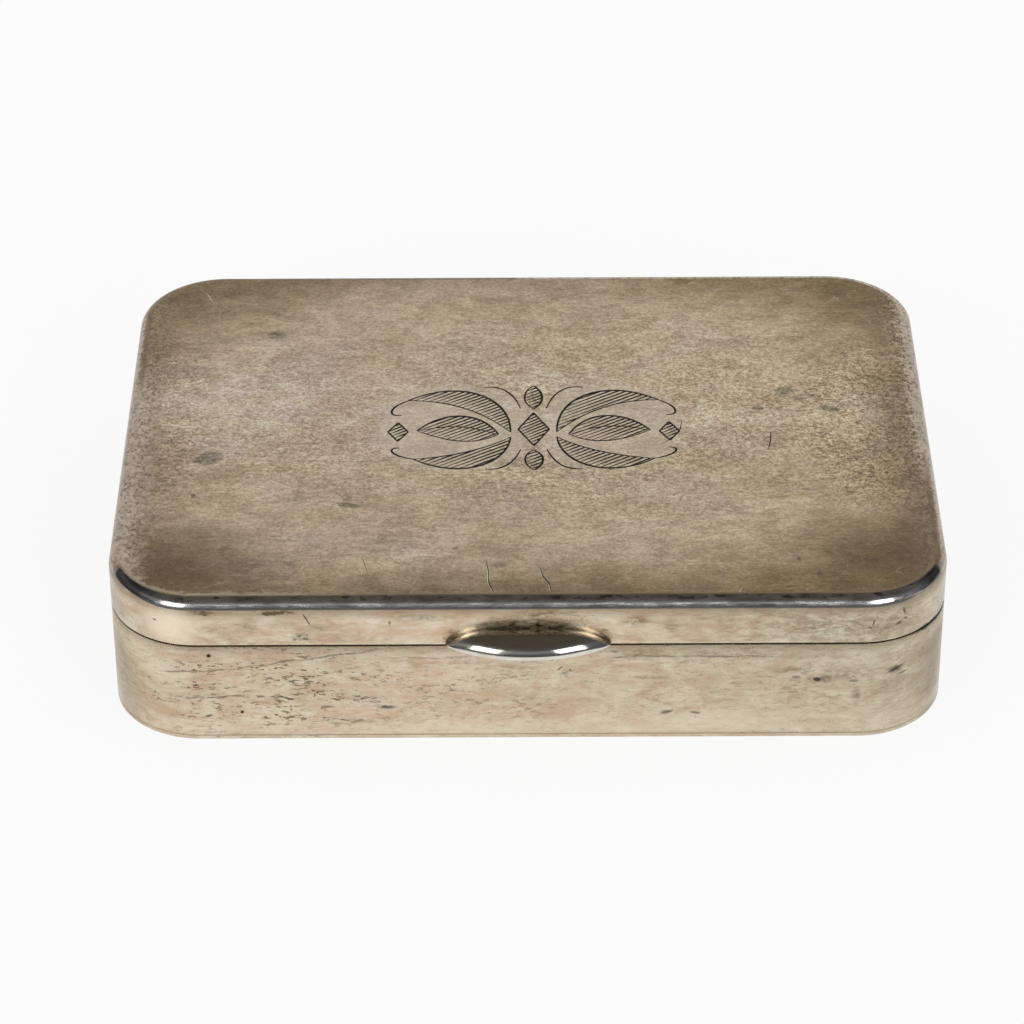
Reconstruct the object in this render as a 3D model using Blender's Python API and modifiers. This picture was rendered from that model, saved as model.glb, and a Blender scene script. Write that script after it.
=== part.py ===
"""A hinged silver table box: a round-cornered tray, a shallow lid on a long back hinge, and a thumb piece.

The origin is the middle of the underside, +X runs along the hinge, +Y points to the back and +Z up.
"""

from math import pi, radians, sqrt, tan

import bmesh
import bpy
from mathutils import Vector

# Outside sizes, in metres
BOX_WIDTH = 0.080
BOX_DEPTH = 0.0592
CORNER_RADIUS = 0.0086
SEAM_HEIGHT = 0.0111
LID_HEIGHT = 0.00515

# Sheet thickness and edges
WALL_THICKNESS = 0.0008
TOP_THICKNESS = 0.0008
FLOOR_THICKNESS = 0.0005
FLOOR_EDGE_RADIUS = 0.00025
SHOULDER_RADIUS = 0.0012
SHOULDER_SKIRT = 0.0002

# Gaps between pieces
SEAM_GAP = 0.00016
SOLDER_GAP = 0.0001
RIM_CLEARANCE = 0.00012

# Inner rim that the lid closes over
RIM_THICKNESS = 0.0005
RIM_RISE = 0.0016
RIM_DROP = 0.0032

# Hinge
KNUCKLE_RADIUS = 0.00125
KNUCKLE_GAP = 0.00015
KNUCKLE_EDGE = 0.00008
BASE_KNUCKLES = 5
PIN_RADIUS = 0.0005
PIN_CLEARANCE = 0.00006
HINGE_OVERRUN = 0.0016
CAP_THICKNESS = 0.0006
CAP_DOME = 0.0003
BEARER_LIP = 0.0005
BEARER_WEB = 0.0006
OPENING_ANGLE = radians(100)
STOP_MARGIN = radians(3)

# Thumb piece
THUMB_WIDTH = 0.0156
THUMB_DEPTH = 0.0028
THUMB_HEIGHT = 0.0018
THUMB_LIP = 0.0005

# How far a cutter runs past what it cuts
CUT_OVERRUN = 0.002

# Points closer than this are one point
SAME_POINT = 0.000001

# How finely round shapes are divided
CORNER_SEGMENTS = 12
SHOULDER_SEGMENTS = 5
EDGE_SEGMENTS = 2
BARREL_SEGMENTS = 32
THUMB_SEGMENTS = 36
THUMB_STATIONS = 24
CAP_RINGS = 4
ROUND_PROFILE_SHARE = 0.5
SHARP_ANGLE = radians(30)

# Worked out from the sizes above
box_height = SEAM_HEIGHT + LID_HEIGHT
base_wall_low = FLOOR_THICKNESS + SOLDER_GAP
base_wall_high = SEAM_HEIGHT - SEAM_GAP / 2
lid_wall_low = SEAM_HEIGHT + SEAM_GAP / 2
lid_top_low = box_height - max(SHOULDER_RADIUS, TOP_THICKNESS) - SHOULDER_SKIRT
lid_wall_high = lid_top_low - SOLDER_GAP
straight_back = BOX_WIDTH - 2 * CORNER_RADIUS
barrel_length = straight_back + 2 * HINGE_OVERRUN
barrel_clearance_radius = KNUCKLE_RADIUS + SOLDER_GAP
bore_radius = PIN_RADIUS + PIN_CLEARANCE
hinge_axis = Vector((0, BOX_DEPTH / 2 - KNUCKLE_RADIUS, SEAM_HEIGHT))

# Finishes: linear red, green and blue, then roughness
WORN_SILVER = (0.54, 0.44, 0.32), 0.35
TARNISHED_SILVER = (0.32, 0.25, 0.17), 0.45
POLISHED_SILVER = (0.72, 0.70, 0.67), 0.1
GILT_SILVER = (0.71, 0.49, 0.20), 0.3


def clear_scene():
    for old in list(bpy.data.objects):
        bpy.data.objects.remove(old, do_unlink=True)


def new_collection(name):
    collection = bpy.data.collections.new(name)
    bpy.context.scene.collection.children.link(collection)
    return collection


def add_object(name, mesh, place, collection, parent=None):
    """An object at a place in the box's frame, carried by its parent where it has one."""
    made = bpy.data.objects.new(name, mesh)
    collection.objects.link(made)
    made.parent = parent
    made.location = Vector(place) - (parent.location if parent else Vector())
    return made


def finish_metal(piece, finish):
    """Gives a piece its own metal, shaded smooth over its round stretches."""
    colour, roughness = finish
    material = bpy.data.materials.new(piece.name + "_metal")
    material.use_nodes = True
    shader = material.node_tree.nodes["Principled BSDF"]
    shader.inputs["Base Color"].default_value = (*colour, 1)
    shader.inputs["Metallic"].default_value = 1
    shader.inputs["Roughness"].default_value = roughness
    material.diffuse_color = (*colour, 1)
    piece.data.materials.append(material)
    piece.data.shade_smooth()
    piece.data.set_sharp_from_angle(angle=SHARP_ANGLE)


def mesh_from(shape, name):
    mesh = bpy.data.meshes.new(name)
    shape.to_mesh(mesh)
    shape.free()
    return mesh


def lies_at(element, level):
    """Whether a whole edge or face lies at one height."""
    return all(abs(corner.co.z - level) < SAME_POINT for corner in element.verts)


def edges_at(shape, level):
    return [edge for edge in shape.edges if lies_at(edge, level)]


def round_block(inset, height):
    """The box's outline drawn in by an inset and raised from zero to a height."""
    shape = bmesh.new()
    bmesh.ops.create_cube(shape, size=1)
    bmesh.ops.translate(shape, verts=shape.verts, vec=(0, 0, 1 / 2))
    size = (BOX_WIDTH - 2 * inset, BOX_DEPTH - 2 * inset, height)
    bmesh.ops.scale(shape, verts=shape.verts, vec=size)
    upright = [edge for edge in shape.edges if abs(edge.verts[0].co.z - edge.verts[1].co.z) > SAME_POINT]
    bevel_edges(shape, upright, CORNER_RADIUS - inset, CORNER_SEGMENTS)
    return shape


def bevel_edges(shape, edges, radius, segments):
    bmesh.ops.bevel(
        shape,
        geom=edges,
        affect="EDGES",
        offset=radius,
        offset_type="OFFSET",
        segments=segments,
        profile=ROUND_PROFILE_SHARE,
        clamp_overlap=False,
    )


def drop_flat_faces(shape, levels):
    """Opens a block where its flat faces lie at the given heights."""
    flat = [face for face in shape.faces if any(lies_at(face, level) for level in levels)]
    bmesh.ops.delete(shape, geom=flat, context="FACES")


def thicken_inwards(piece, thickness):
    shell = piece.modifiers.new("sheet", "SOLIDIFY")
    shell.thickness = thickness
    shell.offset = -1
    shell.use_even_offset = True
    shell.use_quality_normals = True


def cut_away(piece, cutter, operation="DIFFERENCE"):
    cut = piece.modifiers.new(cutter.name, "BOOLEAN")
    cut.operation = operation
    cut.solver = "EXACT"
    cut.object = cutter


def turn_profile(name, points, closed=False):
    """A profile of radius and height, from the top of its outer side down, to be turned about Z."""
    shape = bmesh.new()
    corners = [shape.verts.new((radius, 0, height)) for radius, height in points]
    for first, second in zip(corners, corners[1:]):
        shape.edges.new((first, second))
    if closed:
        shape.edges.new((corners[-1], corners[0]))
    return mesh_from(shape, name)


def turn_round(piece, segments):
    turned = piece.modifiers.new("turned", "SCREW")
    turned.angle = 2 * pi
    turned.steps = segments
    turned.render_steps = segments
    turned.use_merge_vertices = True
    turned.merge_threshold = SAME_POINT
    turned.use_smooth_shade = True


def lay_along_hinge(piece):
    """Turns a piece's own upright axis to lie along the hinge."""
    piece.rotation_euler = (0, pi / 2, 0)


def make_cutter(name, mesh, place, cutters):
    cutter = add_object(name, mesh, place, cutters)
    cutter.hide_render = True
    cutter.display_type = "WIRE"
    return cutter


def barrel_cutter(cutters):
    """The round seat that walls and bearers leave for the hinge's barrel."""
    shape = bmesh.new()
    bmesh.ops.create_cone(
        shape,
        cap_ends=True,
        segments=BARREL_SEGMENTS,
        radius1=barrel_clearance_radius,
        radius2=barrel_clearance_radius,
        depth=barrel_length + 2 * SOLDER_GAP,
    )
    cutter = make_cutter("barrel_seat", mesh_from(shape, "barrel_seat"), hinge_axis, cutters)
    lay_along_hinge(cutter)
    return cutter


def swing_cutter(cutters):
    """The wedge behind the hinge axis that lets the back edges swing together and then stops them."""
    reach = KNUCKLE_RADIUS + CUT_OVERRUN
    half_height = reach * tan((OPENING_ANGLE + STOP_MARGIN) / 2)
    curve = bpy.data.curves.new("swing_outline", "CURVE")
    curve.dimensions = "2D"
    curve.fill_mode = "BOTH"
    curve.extrude = BOX_WIDTH / 2 + CUT_OVERRUN
    outline = curve.splines.new("POLY")
    outline.points.add(2)
    for point, (back, up) in zip(outline.points, [(0, 0), (reach, -half_height), (reach, half_height)]):
        point.co = (back, up, 0, 1)
    outline.use_cyclic_u = True
    drawn = add_object("swing_outline", curve, hinge_axis, cutters)
    drawn.rotation_euler = (pi / 2, 0, pi / 2)
    bpy.context.view_layer.update()
    mesh = bpy.data.meshes.new_from_object(drawn.evaluated_get(bpy.context.evaluated_depsgraph_get()))
    shape = bmesh.new()
    shape.from_mesh(mesh)
    bmesh.ops.remove_doubles(shape, verts=shape.verts, dist=SAME_POINT)
    bmesh.ops.recalc_face_normals(shape, faces=shape.faces)
    shape.to_mesh(mesh)
    shape.free()
    cutter = make_cutter("swing_relief", mesh, (0, 0, 0), cutters)
    cutter.matrix_world = drawn.matrix_world.copy()
    bpy.data.objects.remove(drawn, do_unlink=True)
    return cutter


def make_base_plate(parts):
    shape = round_block(0, FLOOR_THICKNESS)
    bevel_edges(shape, edges_at(shape, 0), FLOOR_EDGE_RADIUS, EDGE_SEGMENTS)
    plate = add_object("base_plate", mesh_from(shape, "base_plate"), (0, 0, 0), parts)
    finish_metal(plate, WORN_SILVER)


def side_band(name, low, high, parts, parent=None):
    """A wall of the box between two heights, a band of sheet that follows the outline."""
    shape = round_block(0, high - low)
    drop_flat_faces(shape, (0, high - low))
    band = add_object(name, mesh_from(shape, name), (0, 0, low), parts, parent)
    thicken_inwards(band, WALL_THICKNESS)
    finish_metal(band, WORN_SILVER)
    return band


def make_base_wall(parts, hinge_cutters):
    wall = side_band("base_wall", base_wall_low, base_wall_high, parts)
    for cutter in hinge_cutters:
        cut_away(wall, cutter)


def make_inner_rim(parts):
    """A strip round the front and sides that stands above the seam and guides the lid."""
    low = SEAM_HEIGHT - RIM_DROP
    height = RIM_DROP + RIM_RISE
    shape = round_block(WALL_THICKNESS + RIM_CLEARANCE, height)
    drop_flat_faces(shape, (0, height))
    everything = shape.verts[:] + shape.edges[:] + shape.faces[:]
    back_end = (0, BOX_DEPTH / 2 - CORNER_RADIUS, 0)
    bmesh.ops.bisect_plane(shape, geom=everything, plane_co=back_end, plane_no=(0, 1, 0), clear_outer=True)
    rim = add_object("base_inner_rim", mesh_from(shape, "base_inner_rim"), (0, 0, low), parts)
    thicken_inwards(rim, RIM_THICKNESS)
    finish_metal(rim, GILT_SILVER)


def make_lid_top(parts, lid_axis):
    """The top sheet, rolled over at its edge into a round shoulder."""
    height = box_height - lid_top_low
    shape = round_block(0, height)
    bevel_edges(shape, edges_at(shape, height), SHOULDER_RADIUS, SHOULDER_SEGMENTS)
    drop_flat_faces(shape, (0,))
    top = add_object("lid_top", mesh_from(shape, "lid_top"), (0, 0, lid_top_low), parts, lid_axis)
    thicken_inwards(top, TOP_THICKNESS)
    finish_metal(top, TARNISHED_SILVER)


def make_lid_wall(parts, lid_axis, hinge_cutters):
    wall = side_band("lid_wall", lid_wall_low, lid_wall_high, parts, lid_axis)
    for cutter in hinge_cutters:
        cut_away(wall, cutter)


def hinge_bearer(name, side, parts, barrel_seat, parent=None):
    """The strip inside the back wall that the knuckles are seated on, above the seam or below it."""
    back = KNUCKLE_RADIUS - WALL_THICKNESS - SOLDER_GAP
    front = -(barrel_clearance_radius + BEARER_LIP)
    near = SEAM_GAP / 2
    far = barrel_clearance_radius + BEARER_WEB
    shape = bmesh.new()
    bmesh.ops.create_cube(shape, size=1)
    bmesh.ops.scale(shape, verts=shape.verts, vec=(straight_back, back - front, far - near))
    middle = hinge_axis + Vector((0, (back + front) / 2, side * (near + far) / 2))
    bearer = add_object(name, mesh_from(shape, name), middle, parts, parent)
    cut_away(bearer, barrel_seat)
    finish_metal(bearer, GILT_SILVER)


def knuckle_profile(length):
    """Down the outside with its eased ends, and up the bore."""
    half = length / 2
    outside = [
        (KNUCKLE_RADIUS - KNUCKLE_EDGE, half),
        (KNUCKLE_RADIUS, half - KNUCKLE_EDGE),
        (KNUCKLE_RADIUS, -half + KNUCKLE_EDGE),
        (KNUCKLE_RADIUS - KNUCKLE_EDGE, -half),
    ]
    return outside + [(bore_radius, -half), (bore_radius, half)]


def make_knuckles(parts, lid_axis):
    """Knuckles turn and turn about, the first and last of them the base's."""
    count = 2 * BASE_KNUCKLES - 1
    taken = 2 * (CAP_THICKNESS + SOLDER_GAP) + (count - 1) * KNUCKLE_GAP
    length = (barrel_length - taken) / count
    first = -(count - 1) / 2 * (length + KNUCKLE_GAP)
    for index in range(count):
        on_lid = index % 2
        owner = lid_axis if on_lid else None
        name = ("lid_knuckle_" if on_lid else "base_knuckle_") + str(index // 2 + 1)
        mesh = turn_profile(name, knuckle_profile(length), closed=True)
        place = hinge_axis + Vector((first + index * (length + KNUCKLE_GAP), 0, 0))
        knuckle = add_object(name, mesh, place, parts, owner)
        turn_round(knuckle, BARREL_SEGMENTS)
        lay_along_hinge(knuckle)
        finish_metal(knuckle, WORN_SILVER)


def make_hinge_pin(parts):
    length = barrel_length - 2 * (CAP_THICKNESS + SOLDER_GAP)
    shape = bmesh.new()
    bmesh.ops.create_cone(
        shape,
        cap_ends=True,
        segments=BARREL_SEGMENTS,
        radius1=PIN_RADIUS,
        radius2=PIN_RADIUS,
        depth=length,
    )
    pin = add_object("hinge_pin", mesh_from(shape, "hinge_pin"), hinge_axis, parts)
    lay_along_hinge(pin)
    finish_metal(pin, POLISHED_SILVER)


def make_end_caps(parts):
    """A flat-backed, domed plug at each end of the barrel."""
    rise = CAP_THICKNESS - CAP_DOME
    dome_radius = (KNUCKLE_RADIUS**2 + CAP_DOME**2) / (2 * CAP_DOME)
    points = []
    for ring in range(CAP_RINGS + 1):
        radius = KNUCKLE_RADIUS * ring / CAP_RINGS
        points.append((radius, rise + CAP_DOME - dome_radius + sqrt(dome_radius**2 - radius**2)))
    points += [(KNUCKLE_RADIUS, 0), (0, 0)]
    for name, end in (("hinge_end_cap_left", -1), ("hinge_end_cap_right", 1)):
        mesh = turn_profile(name, points)
        place = hinge_axis + Vector((end * (barrel_length / 2 - CAP_THICKNESS), 0, 0))
        cap = add_object(name, mesh, place, parts)
        turn_round(cap, BARREL_SEGMENTS)
        cap.rotation_euler = (0, end * pi / 2, 0)
        finish_metal(cap, WORN_SILVER)


def make_thumb_piece(parts, cutters, lid_axis):
    """A quarter of a turned lens, flat below and against the wall, with a narrow lip at its front."""
    half_width = THUMB_WIDTH / 2
    arc_radius = (half_width**2 + THUMB_DEPTH**2) / (2 * THUMB_DEPTH)
    points = []
    for station in range(THUMB_STATIONS + 1):
        along = half_width * (1 - 2 * station / THUMB_STATIONS)
        points.append((max(0, sqrt(arc_radius**2 - along**2) - arc_radius + THUMB_DEPTH), along))
    face = -BOX_DEPTH / 2 - SOLDER_GAP
    place = Vector((0, face, lid_wall_low + THUMB_LIP))
    thumb = add_object("thumb_piece", turn_profile("thumb_piece", points), place, parts, lid_axis)
    turn_round(thumb, THUMB_SEGMENTS)
    lay_along_hinge(thumb)
    thumb.scale = ((THUMB_HEIGHT - THUMB_LIP) / THUMB_DEPTH, 1, 1)
    finish_metal(thumb, POLISHED_SILVER)

    block = (THUMB_WIDTH + CUT_OVERRUN, THUMB_DEPTH + CUT_OVERRUN, THUMB_HEIGHT + CUT_OVERRUN)
    shape = bmesh.new()
    bmesh.ops.create_cube(shape, size=1)
    bmesh.ops.scale(shape, verts=shape.verts, vec=block)
    middle = (0, face - block[1] / 2, lid_wall_low + block[2] / 2)
    keep = make_cutter("thumb_quarter", mesh_from(shape, "thumb_quarter"), middle, cutters)
    cut_away(thumb, keep, "INTERSECT")


def main():
    clear_scene()
    parts = new_collection("hinged_silver_box")
    cutters = new_collection("cutters")
    barrel_seat = barrel_cutter(cutters)
    swing_relief = swing_cutter(cutters)
    lid_axis = add_object("lid_hinge_axis", None, hinge_axis, parts)

    make_base_plate(parts)
    make_base_wall(parts, (swing_relief, barrel_seat))
    make_inner_rim(parts)
    hinge_bearer("base_hinge_bearer", -1, parts, barrel_seat)
    make_lid_top(parts, lid_axis)
    make_lid_wall(parts, lid_axis, (swing_relief, barrel_seat))
    hinge_bearer("lid_hinge_bearer", 1, parts, barrel_seat, lid_axis)
    make_knuckles(parts, lid_axis)
    make_hinge_pin(parts)
    make_end_caps(parts)
    make_thumb_piece(parts, cutters, lid_axis)


main()
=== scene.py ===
"""Looks of the hinged silver table box: camera, plain studio, shaped pieces and worn silver finishes."""

from functools import reduce
from math import atan2, cos, pi, radians, sin, sqrt, tan

import bmesh
import bpy
from mathutils import Matrix, Vector
from mathutils.geometry import interpolate_bezier


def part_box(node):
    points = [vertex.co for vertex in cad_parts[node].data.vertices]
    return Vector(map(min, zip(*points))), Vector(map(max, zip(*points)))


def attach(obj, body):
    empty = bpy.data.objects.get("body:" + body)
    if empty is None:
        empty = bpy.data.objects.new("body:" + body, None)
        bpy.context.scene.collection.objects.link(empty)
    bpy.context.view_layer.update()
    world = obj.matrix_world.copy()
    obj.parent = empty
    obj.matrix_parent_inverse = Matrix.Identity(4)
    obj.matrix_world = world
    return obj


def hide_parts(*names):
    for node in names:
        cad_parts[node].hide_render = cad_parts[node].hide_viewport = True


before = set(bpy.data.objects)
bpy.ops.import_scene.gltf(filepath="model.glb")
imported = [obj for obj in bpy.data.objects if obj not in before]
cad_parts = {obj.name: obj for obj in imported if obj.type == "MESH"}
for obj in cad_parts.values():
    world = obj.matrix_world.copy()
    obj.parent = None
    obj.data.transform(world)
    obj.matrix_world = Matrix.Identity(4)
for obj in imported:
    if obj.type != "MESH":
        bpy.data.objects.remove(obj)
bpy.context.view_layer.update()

MM = 0.001

# Places of the box's own parts, read from the solids
TOP_LOW, TOP_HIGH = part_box("lid_top")
LID_LOW, LID_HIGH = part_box("lid_wall")
TRAY_LOW, TRAY_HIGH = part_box("base_wall")
FLOOR_LOW, FLOOR_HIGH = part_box("base_plate")
RIM_LOW, RIM_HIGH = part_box("base_inner_rim")
THUMB_LOW, THUMB_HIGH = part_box("thumb_piece")
PIN_LOW, PIN_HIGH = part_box("hinge_pin")
KNUCKLE_LOW, KNUCKLE_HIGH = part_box("base_knuckle_1")
HINGE_LINE = (PIN_LOW + PIN_HIGH) / 2
TOP_Z = TOP_HIGH.z / MM
FRONT_Y = TRAY_LOW.y / MM

CORNER_RADIUS = 8.6 * MM
CORNER_STEPS = 36
SHOULDER_RADIUS = 1.2 * MM
SHEET = 0.8 * MM
SKIN_DEPTH = 0.42 * MM
BROKEN_EDGE = 0.06 * MM
FOOT_RADIUS = 0.22 * MM
RIM_SHEET = 0.5 * MM
RIM_INSET = 0.92 * MM
BARREL_RADIUS = (KNUCKLE_HIGH.z - KNUCKLE_LOW.z) / 2
BARREL_ROOM = BARREL_RADIUS + 0.1 * MM
BARREL_SIDES = 56
BORE_RADIUS = 0.56 * MM
SEAT_LENGTH = 66.2 * MM
SWING_HALF_ANGLE = radians(51.5)
SWING_REACH = 3.6 * MM

# The thumb piece: how its section and its two outlines bulge, and how its ends thin out
THUMB_LIP = 0.40 * MM
THUMB_REACH = 2.68 * MM
THUMB_SECTION = 2.08
THUMB_BOW = 0.77
THUMB_CROWN = 1.3
THUMB_THINNING = 0.55

# Camera
LENS = 143.15
CAMERA_PLACE = Vector((-1.13, -339.23, 238.70)) * MM
CAMERA_TILT = radians(34.45)
CAMERA_TURN = -0.0011
CAMERA_ROLL = 0.0051


def tint(red, green, blue):
    return (red, green, blue, 1)


# Studio
WHITE = tint(1, 1, 1)
TABLE_PAPER = tint(0.88, 0.88, 0.88)
TABLE_GLOW_SHARE = 0.89
ROOM_FRONT = tint(0.085, 0.090, 0.102)
ROOM_OVERHEAD = tint(0.072, 0.060, 0.048)
ROOM_GLOW = tint(0.27, 0.27, 0.265)
ROOM_LIGHT = 0.62
SOFTBOX_AZIMUTH = radians(31)
SOFTBOX_RISE = radians(24)
SOFTBOX_DISTANCE = 1.2
SOFTBOX_SIZE = (0.48, 0.576)
SOFTBOX_POWER = 3.34

# Tones of the metal, in linear light
PALE = tint(0.60, 0.515, 0.41)
BEIGE = tint(0.495, 0.40, 0.29)
OLIVE = tint(0.24, 0.178, 0.095)
BROWN = tint(0.130, 0.094, 0.050)
NEAR_BLACK = tint(0.035, 0.028, 0.022)
DARK_GREY = tint(0.255, 0.235, 0.195)
LIGHT_GREY = tint(0.75, 0.765, 0.80)
FLECK_BROWN = tint(0.14, 0.10, 0.056)
DASH_BROWN = tint(0.16, 0.115, 0.065)
SPOT_DARK = tint(0.085, 0.076, 0.048)
WALL_WARM = tint(0.61, 0.50, 0.36)
WALL_ROSE = tint(0.66, 0.53, 0.395)
WALL_GREY = tint(0.55, 0.48, 0.355)
WALL_PALE = tint(0.74, 0.65, 0.50)
WALL_BRIGHT = tint(0.88, 0.755, 0.59)
ROSE_WEAR = tint(0.50, 0.405, 0.325)
SIDE_BROWN = tint(0.19, 0.13, 0.085)
# A dark smear for stains and grime, also used for painted shade at the wall corners and under the seams
SMEAR_AND_SHADE = tint(0.19, 0.15, 0.095)
LINE_DARK = tint(0.16, 0.125, 0.095)
PIT_BROWN = tint(0.155, 0.11, 0.062)
# A dark tone for the painted reflections on the rolled edge
PAINTED_DARK_REFLECTION = tint(0.085, 0.074, 0.072)
BRIGHT = tint(0.86, 0.85, 0.83)
DULL = tint(0.50, 0.48, 0.46)
RUBBED_SILVER = tint(0.62, 0.58, 0.52)
RIM_WEAR = tint(0.53, 0.44, 0.345)
RIM_BROWN = tint(0.25, 0.176, 0.104)
GILT = tint(0.80, 0.60, 0.30)
GILT_WORN = tint(0.74, 0.66, 0.50)


# Modelling


def begin():
    """Object mode, with nothing selected."""
    if bpy.context.mode != "OBJECT":
        bpy.ops.object.mode_set(mode="OBJECT")
    bpy.ops.object.select_all(action="DESELECT")


def hold(piece):
    """Object mode, with one piece selected and active."""
    begin()
    piece.select_set(True)
    bpy.context.view_layer.objects.active = piece


def settled(name):
    """Names the piece just added, and puts its place, turn and size into its mesh."""
    piece = bpy.context.view_layer.objects.active
    piece.name = name
    piece.data.name = name
    hold(piece)
    bpy.ops.object.transform_apply(location=True, rotation=True, scale=True)
    return piece


def block(name, low, high):
    """A plain block between two corners."""
    begin()
    bpy.ops.mesh.primitive_cube_add(size=1, location=(low + high) / 2, scale=high - low)
    return settled(name)


def cross_bar(name, sides, radius, length, middle):
    """A round bar that lies from left to right."""
    begin()
    bpy.ops.mesh.primitive_cylinder_add(
        vertices=sides, radius=radius, depth=length, location=middle, rotation=(0, pi / 2, 0)
    )
    return settled(name)


def pick(piece, kind, wanted=lambda element: True):
    """Opens a piece for shaping with only the wanted verts, edges or faces selected."""
    hold(piece)
    bpy.ops.object.mode_set(mode="EDIT")
    bpy.ops.mesh.select_mode(type={"verts": "VERT", "edges": "EDGE", "faces": "FACE"}[kind])
    bpy.ops.mesh.select_all(action="DESELECT")
    shape = bmesh.from_edit_mesh(piece.data)
    shape.normal_update()
    for element in getattr(shape, kind):
        if wanted(element):
            element.select_set(True)
    bmesh.update_edit_mesh(piece.data)


def middle_of(element):
    return sum((corner.co for corner in element.verts), Vector()) / len(element.verts)


def level_at(*heights):
    """Edges or faces that lie flat at one of the given heights."""

    def wanted(part):
        return any(all(abs(corner.co.z - height) < 1e-7 for corner in part.verts) for height in heights)

    return wanted


def upright_at(*places):
    """Edges that lie across the hinge at one of the given places along it."""

    def wanted(edge):
        return any(all(abs(corner.co.x - place) < 1e-6 for corner in edge.verts) for place in places)

    return wanted


def ease(piece, wanted, radius, steps=2):
    """Rounds over the wanted edges."""
    pick(piece, "edges", wanted)
    bpy.ops.mesh.bevel(offset=radius, segments=steps, profile=0.5, affect="EDGES", clamp_overlap=False)


def cut(piece, cutter, overlapping=False):
    """Takes a cutter's shape out of a piece and throws the cutter away."""
    hold(piece)
    boolean = piece.modifiers.new("cut", "BOOLEAN")
    boolean.solver = "EXACT"
    boolean.operation = "DIFFERENCE"
    boolean.use_self = overlapping
    boolean.object = cutter
    bpy.ops.object.modifier_apply(modifier=boolean.name)
    bpy.data.objects.remove(cutter, do_unlink=True)


def dress(piece, finishes, choose=None, sharp=32):
    """Gives a piece its finishes; choose(face) says which one a face takes."""
    hold(piece)
    for finish in finishes:
        piece.data.materials.append(finish)
    if choose:
        for face in piece.data.polygons:
            face.material_index = choose(face)
    bpy.ops.object.shade_smooth_by_angle(angle=radians(sharp))


def rounded_block(name, low, high, corner):
    """A block with its upright corners rounded."""
    rounded = block(name, low, high)
    ease(rounded, lambda edge: abs(edge.verts[0].co.z - edge.verts[1].co.z) > 1e-5, corner, CORNER_STEPS)
    return rounded


def open_at(piece, *heights):
    """Takes away the flat faces at the given heights."""
    pick(piece, "faces", level_at(*heights))
    bpy.ops.mesh.delete(type="FACE")


def give_thickness(piece, thickness):
    """Turns a skin into sheet metal, grown inwards."""
    hold(piece)
    sheet = piece.modifiers.new("sheet", "SOLIDIFY")
    sheet.thickness = thickness
    sheet.offset = -1
    sheet.use_even_offset = True
    sheet.use_quality_normals = True
    bpy.ops.object.modifier_apply(modifier=sheet.name)


def barrel_seat():
    """A round cutter a little wider than the hinge barrel, and a little longer."""
    return cross_bar("barrel_seat", 64, BARREL_ROOM, SEAT_LENGTH, HINGE_LINE)


def swing_wedge():
    """A three-sided bar whose sharp edge is the hinge line and that widens to the back."""
    begin()
    radius = SWING_REACH * 2 / 3
    stretch = tan(SWING_HALF_ANGLE) / tan(radians(30))
    bpy.ops.mesh.primitive_cylinder_add(
        vertices=3,
        radius=radius,
        depth=0.09,
        location=HINGE_LINE + Vector((0, radius, 0)),
        rotation=(0, -pi / 2, pi),
        scale=(stretch, 1, 1),
    )
    return settled("swing_wedge")


def depth_inside(point):
    """How far inside the box's rounded outline a point lies."""
    x = abs(point.x) - (TRAY_HIGH.x - CORNER_RADIUS)
    y = abs(point.y) - (TRAY_HIGH.y - CORNER_RADIUS)
    return CORNER_RADIUS - (sqrt(x * x + y * y) if x > 0 and y > 0 else max(x, y))


def faces_inwards(face):
    """Whether a wall's face lies inside the box's outer skin."""
    return depth_inside(face.center) > SKIN_DEPTH


def near_hinge(face):
    """Whether a face belongs to the cuts that make room for the hinge."""
    beside = abs(face.center.x) < PIN_HIGH.x + 3 * MM
    close = (face.center - HINGE_LINE).yz.length < 2.4 * MM
    return beside and close and face.normal.y > 0.02


def side_band(name, low, high, seam, outside, inside):
    """A wall of the box: a band of sheet with its edge at the seam just broken, cut back round the hinge."""
    band = rounded_block(name, low, high, CORNER_RADIUS)
    open_at(band, low.z, high.z)
    give_thickness(band, SHEET)
    ease(band, level_at(seam), BROKEN_EDGE)
    cut(band, swing_wedge())
    cut(band, barrel_seat())
    dress(band, [outside, inside], lambda face: int(faces_inwards(face) and not near_hinge(face)))
    return band


def make_tray_side(outside, inside):
    low = Vector((TRAY_LOW.x, TRAY_LOW.y, FLOOR_HIGH.z))
    return side_band("tray_side", low, TRAY_HIGH, TRAY_HIGH.z, outside, inside)


def make_lid_side(outside, inside):
    high = Vector((LID_HIGH.x, LID_HIGH.y, TOP_LOW.z))
    return side_band("lid_side", LID_LOW, high, LID_LOW.z, outside, inside)


def make_tray_floor(edge, inside, underneath):
    """The bottom plate, softened along its foot, with its gilt face up."""
    plate = rounded_block("tray_floor", FLOOR_LOW, FLOOR_HIGH, CORNER_RADIUS)
    ease(plate, level_at(FLOOR_HIGH.z), BROKEN_EDGE)
    ease(plate, level_at(FLOOR_LOW.z), FOOT_RADIUS, 4)
    pick(plate, "faces", lambda face: face.normal.z > 0.9 or (face.normal.z < -0.9 and len(face.verts) > 8))
    bpy.ops.mesh.inset(thickness=1.0 * MM, use_even_offset=True)

    def choose(face):
        if abs(face.normal.z) <= 0.9:
            return 0
        return 1 if face.normal.z > 0 else 2

    dress(plate, [edge, inside, underneath], choose)
    return plate


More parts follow.
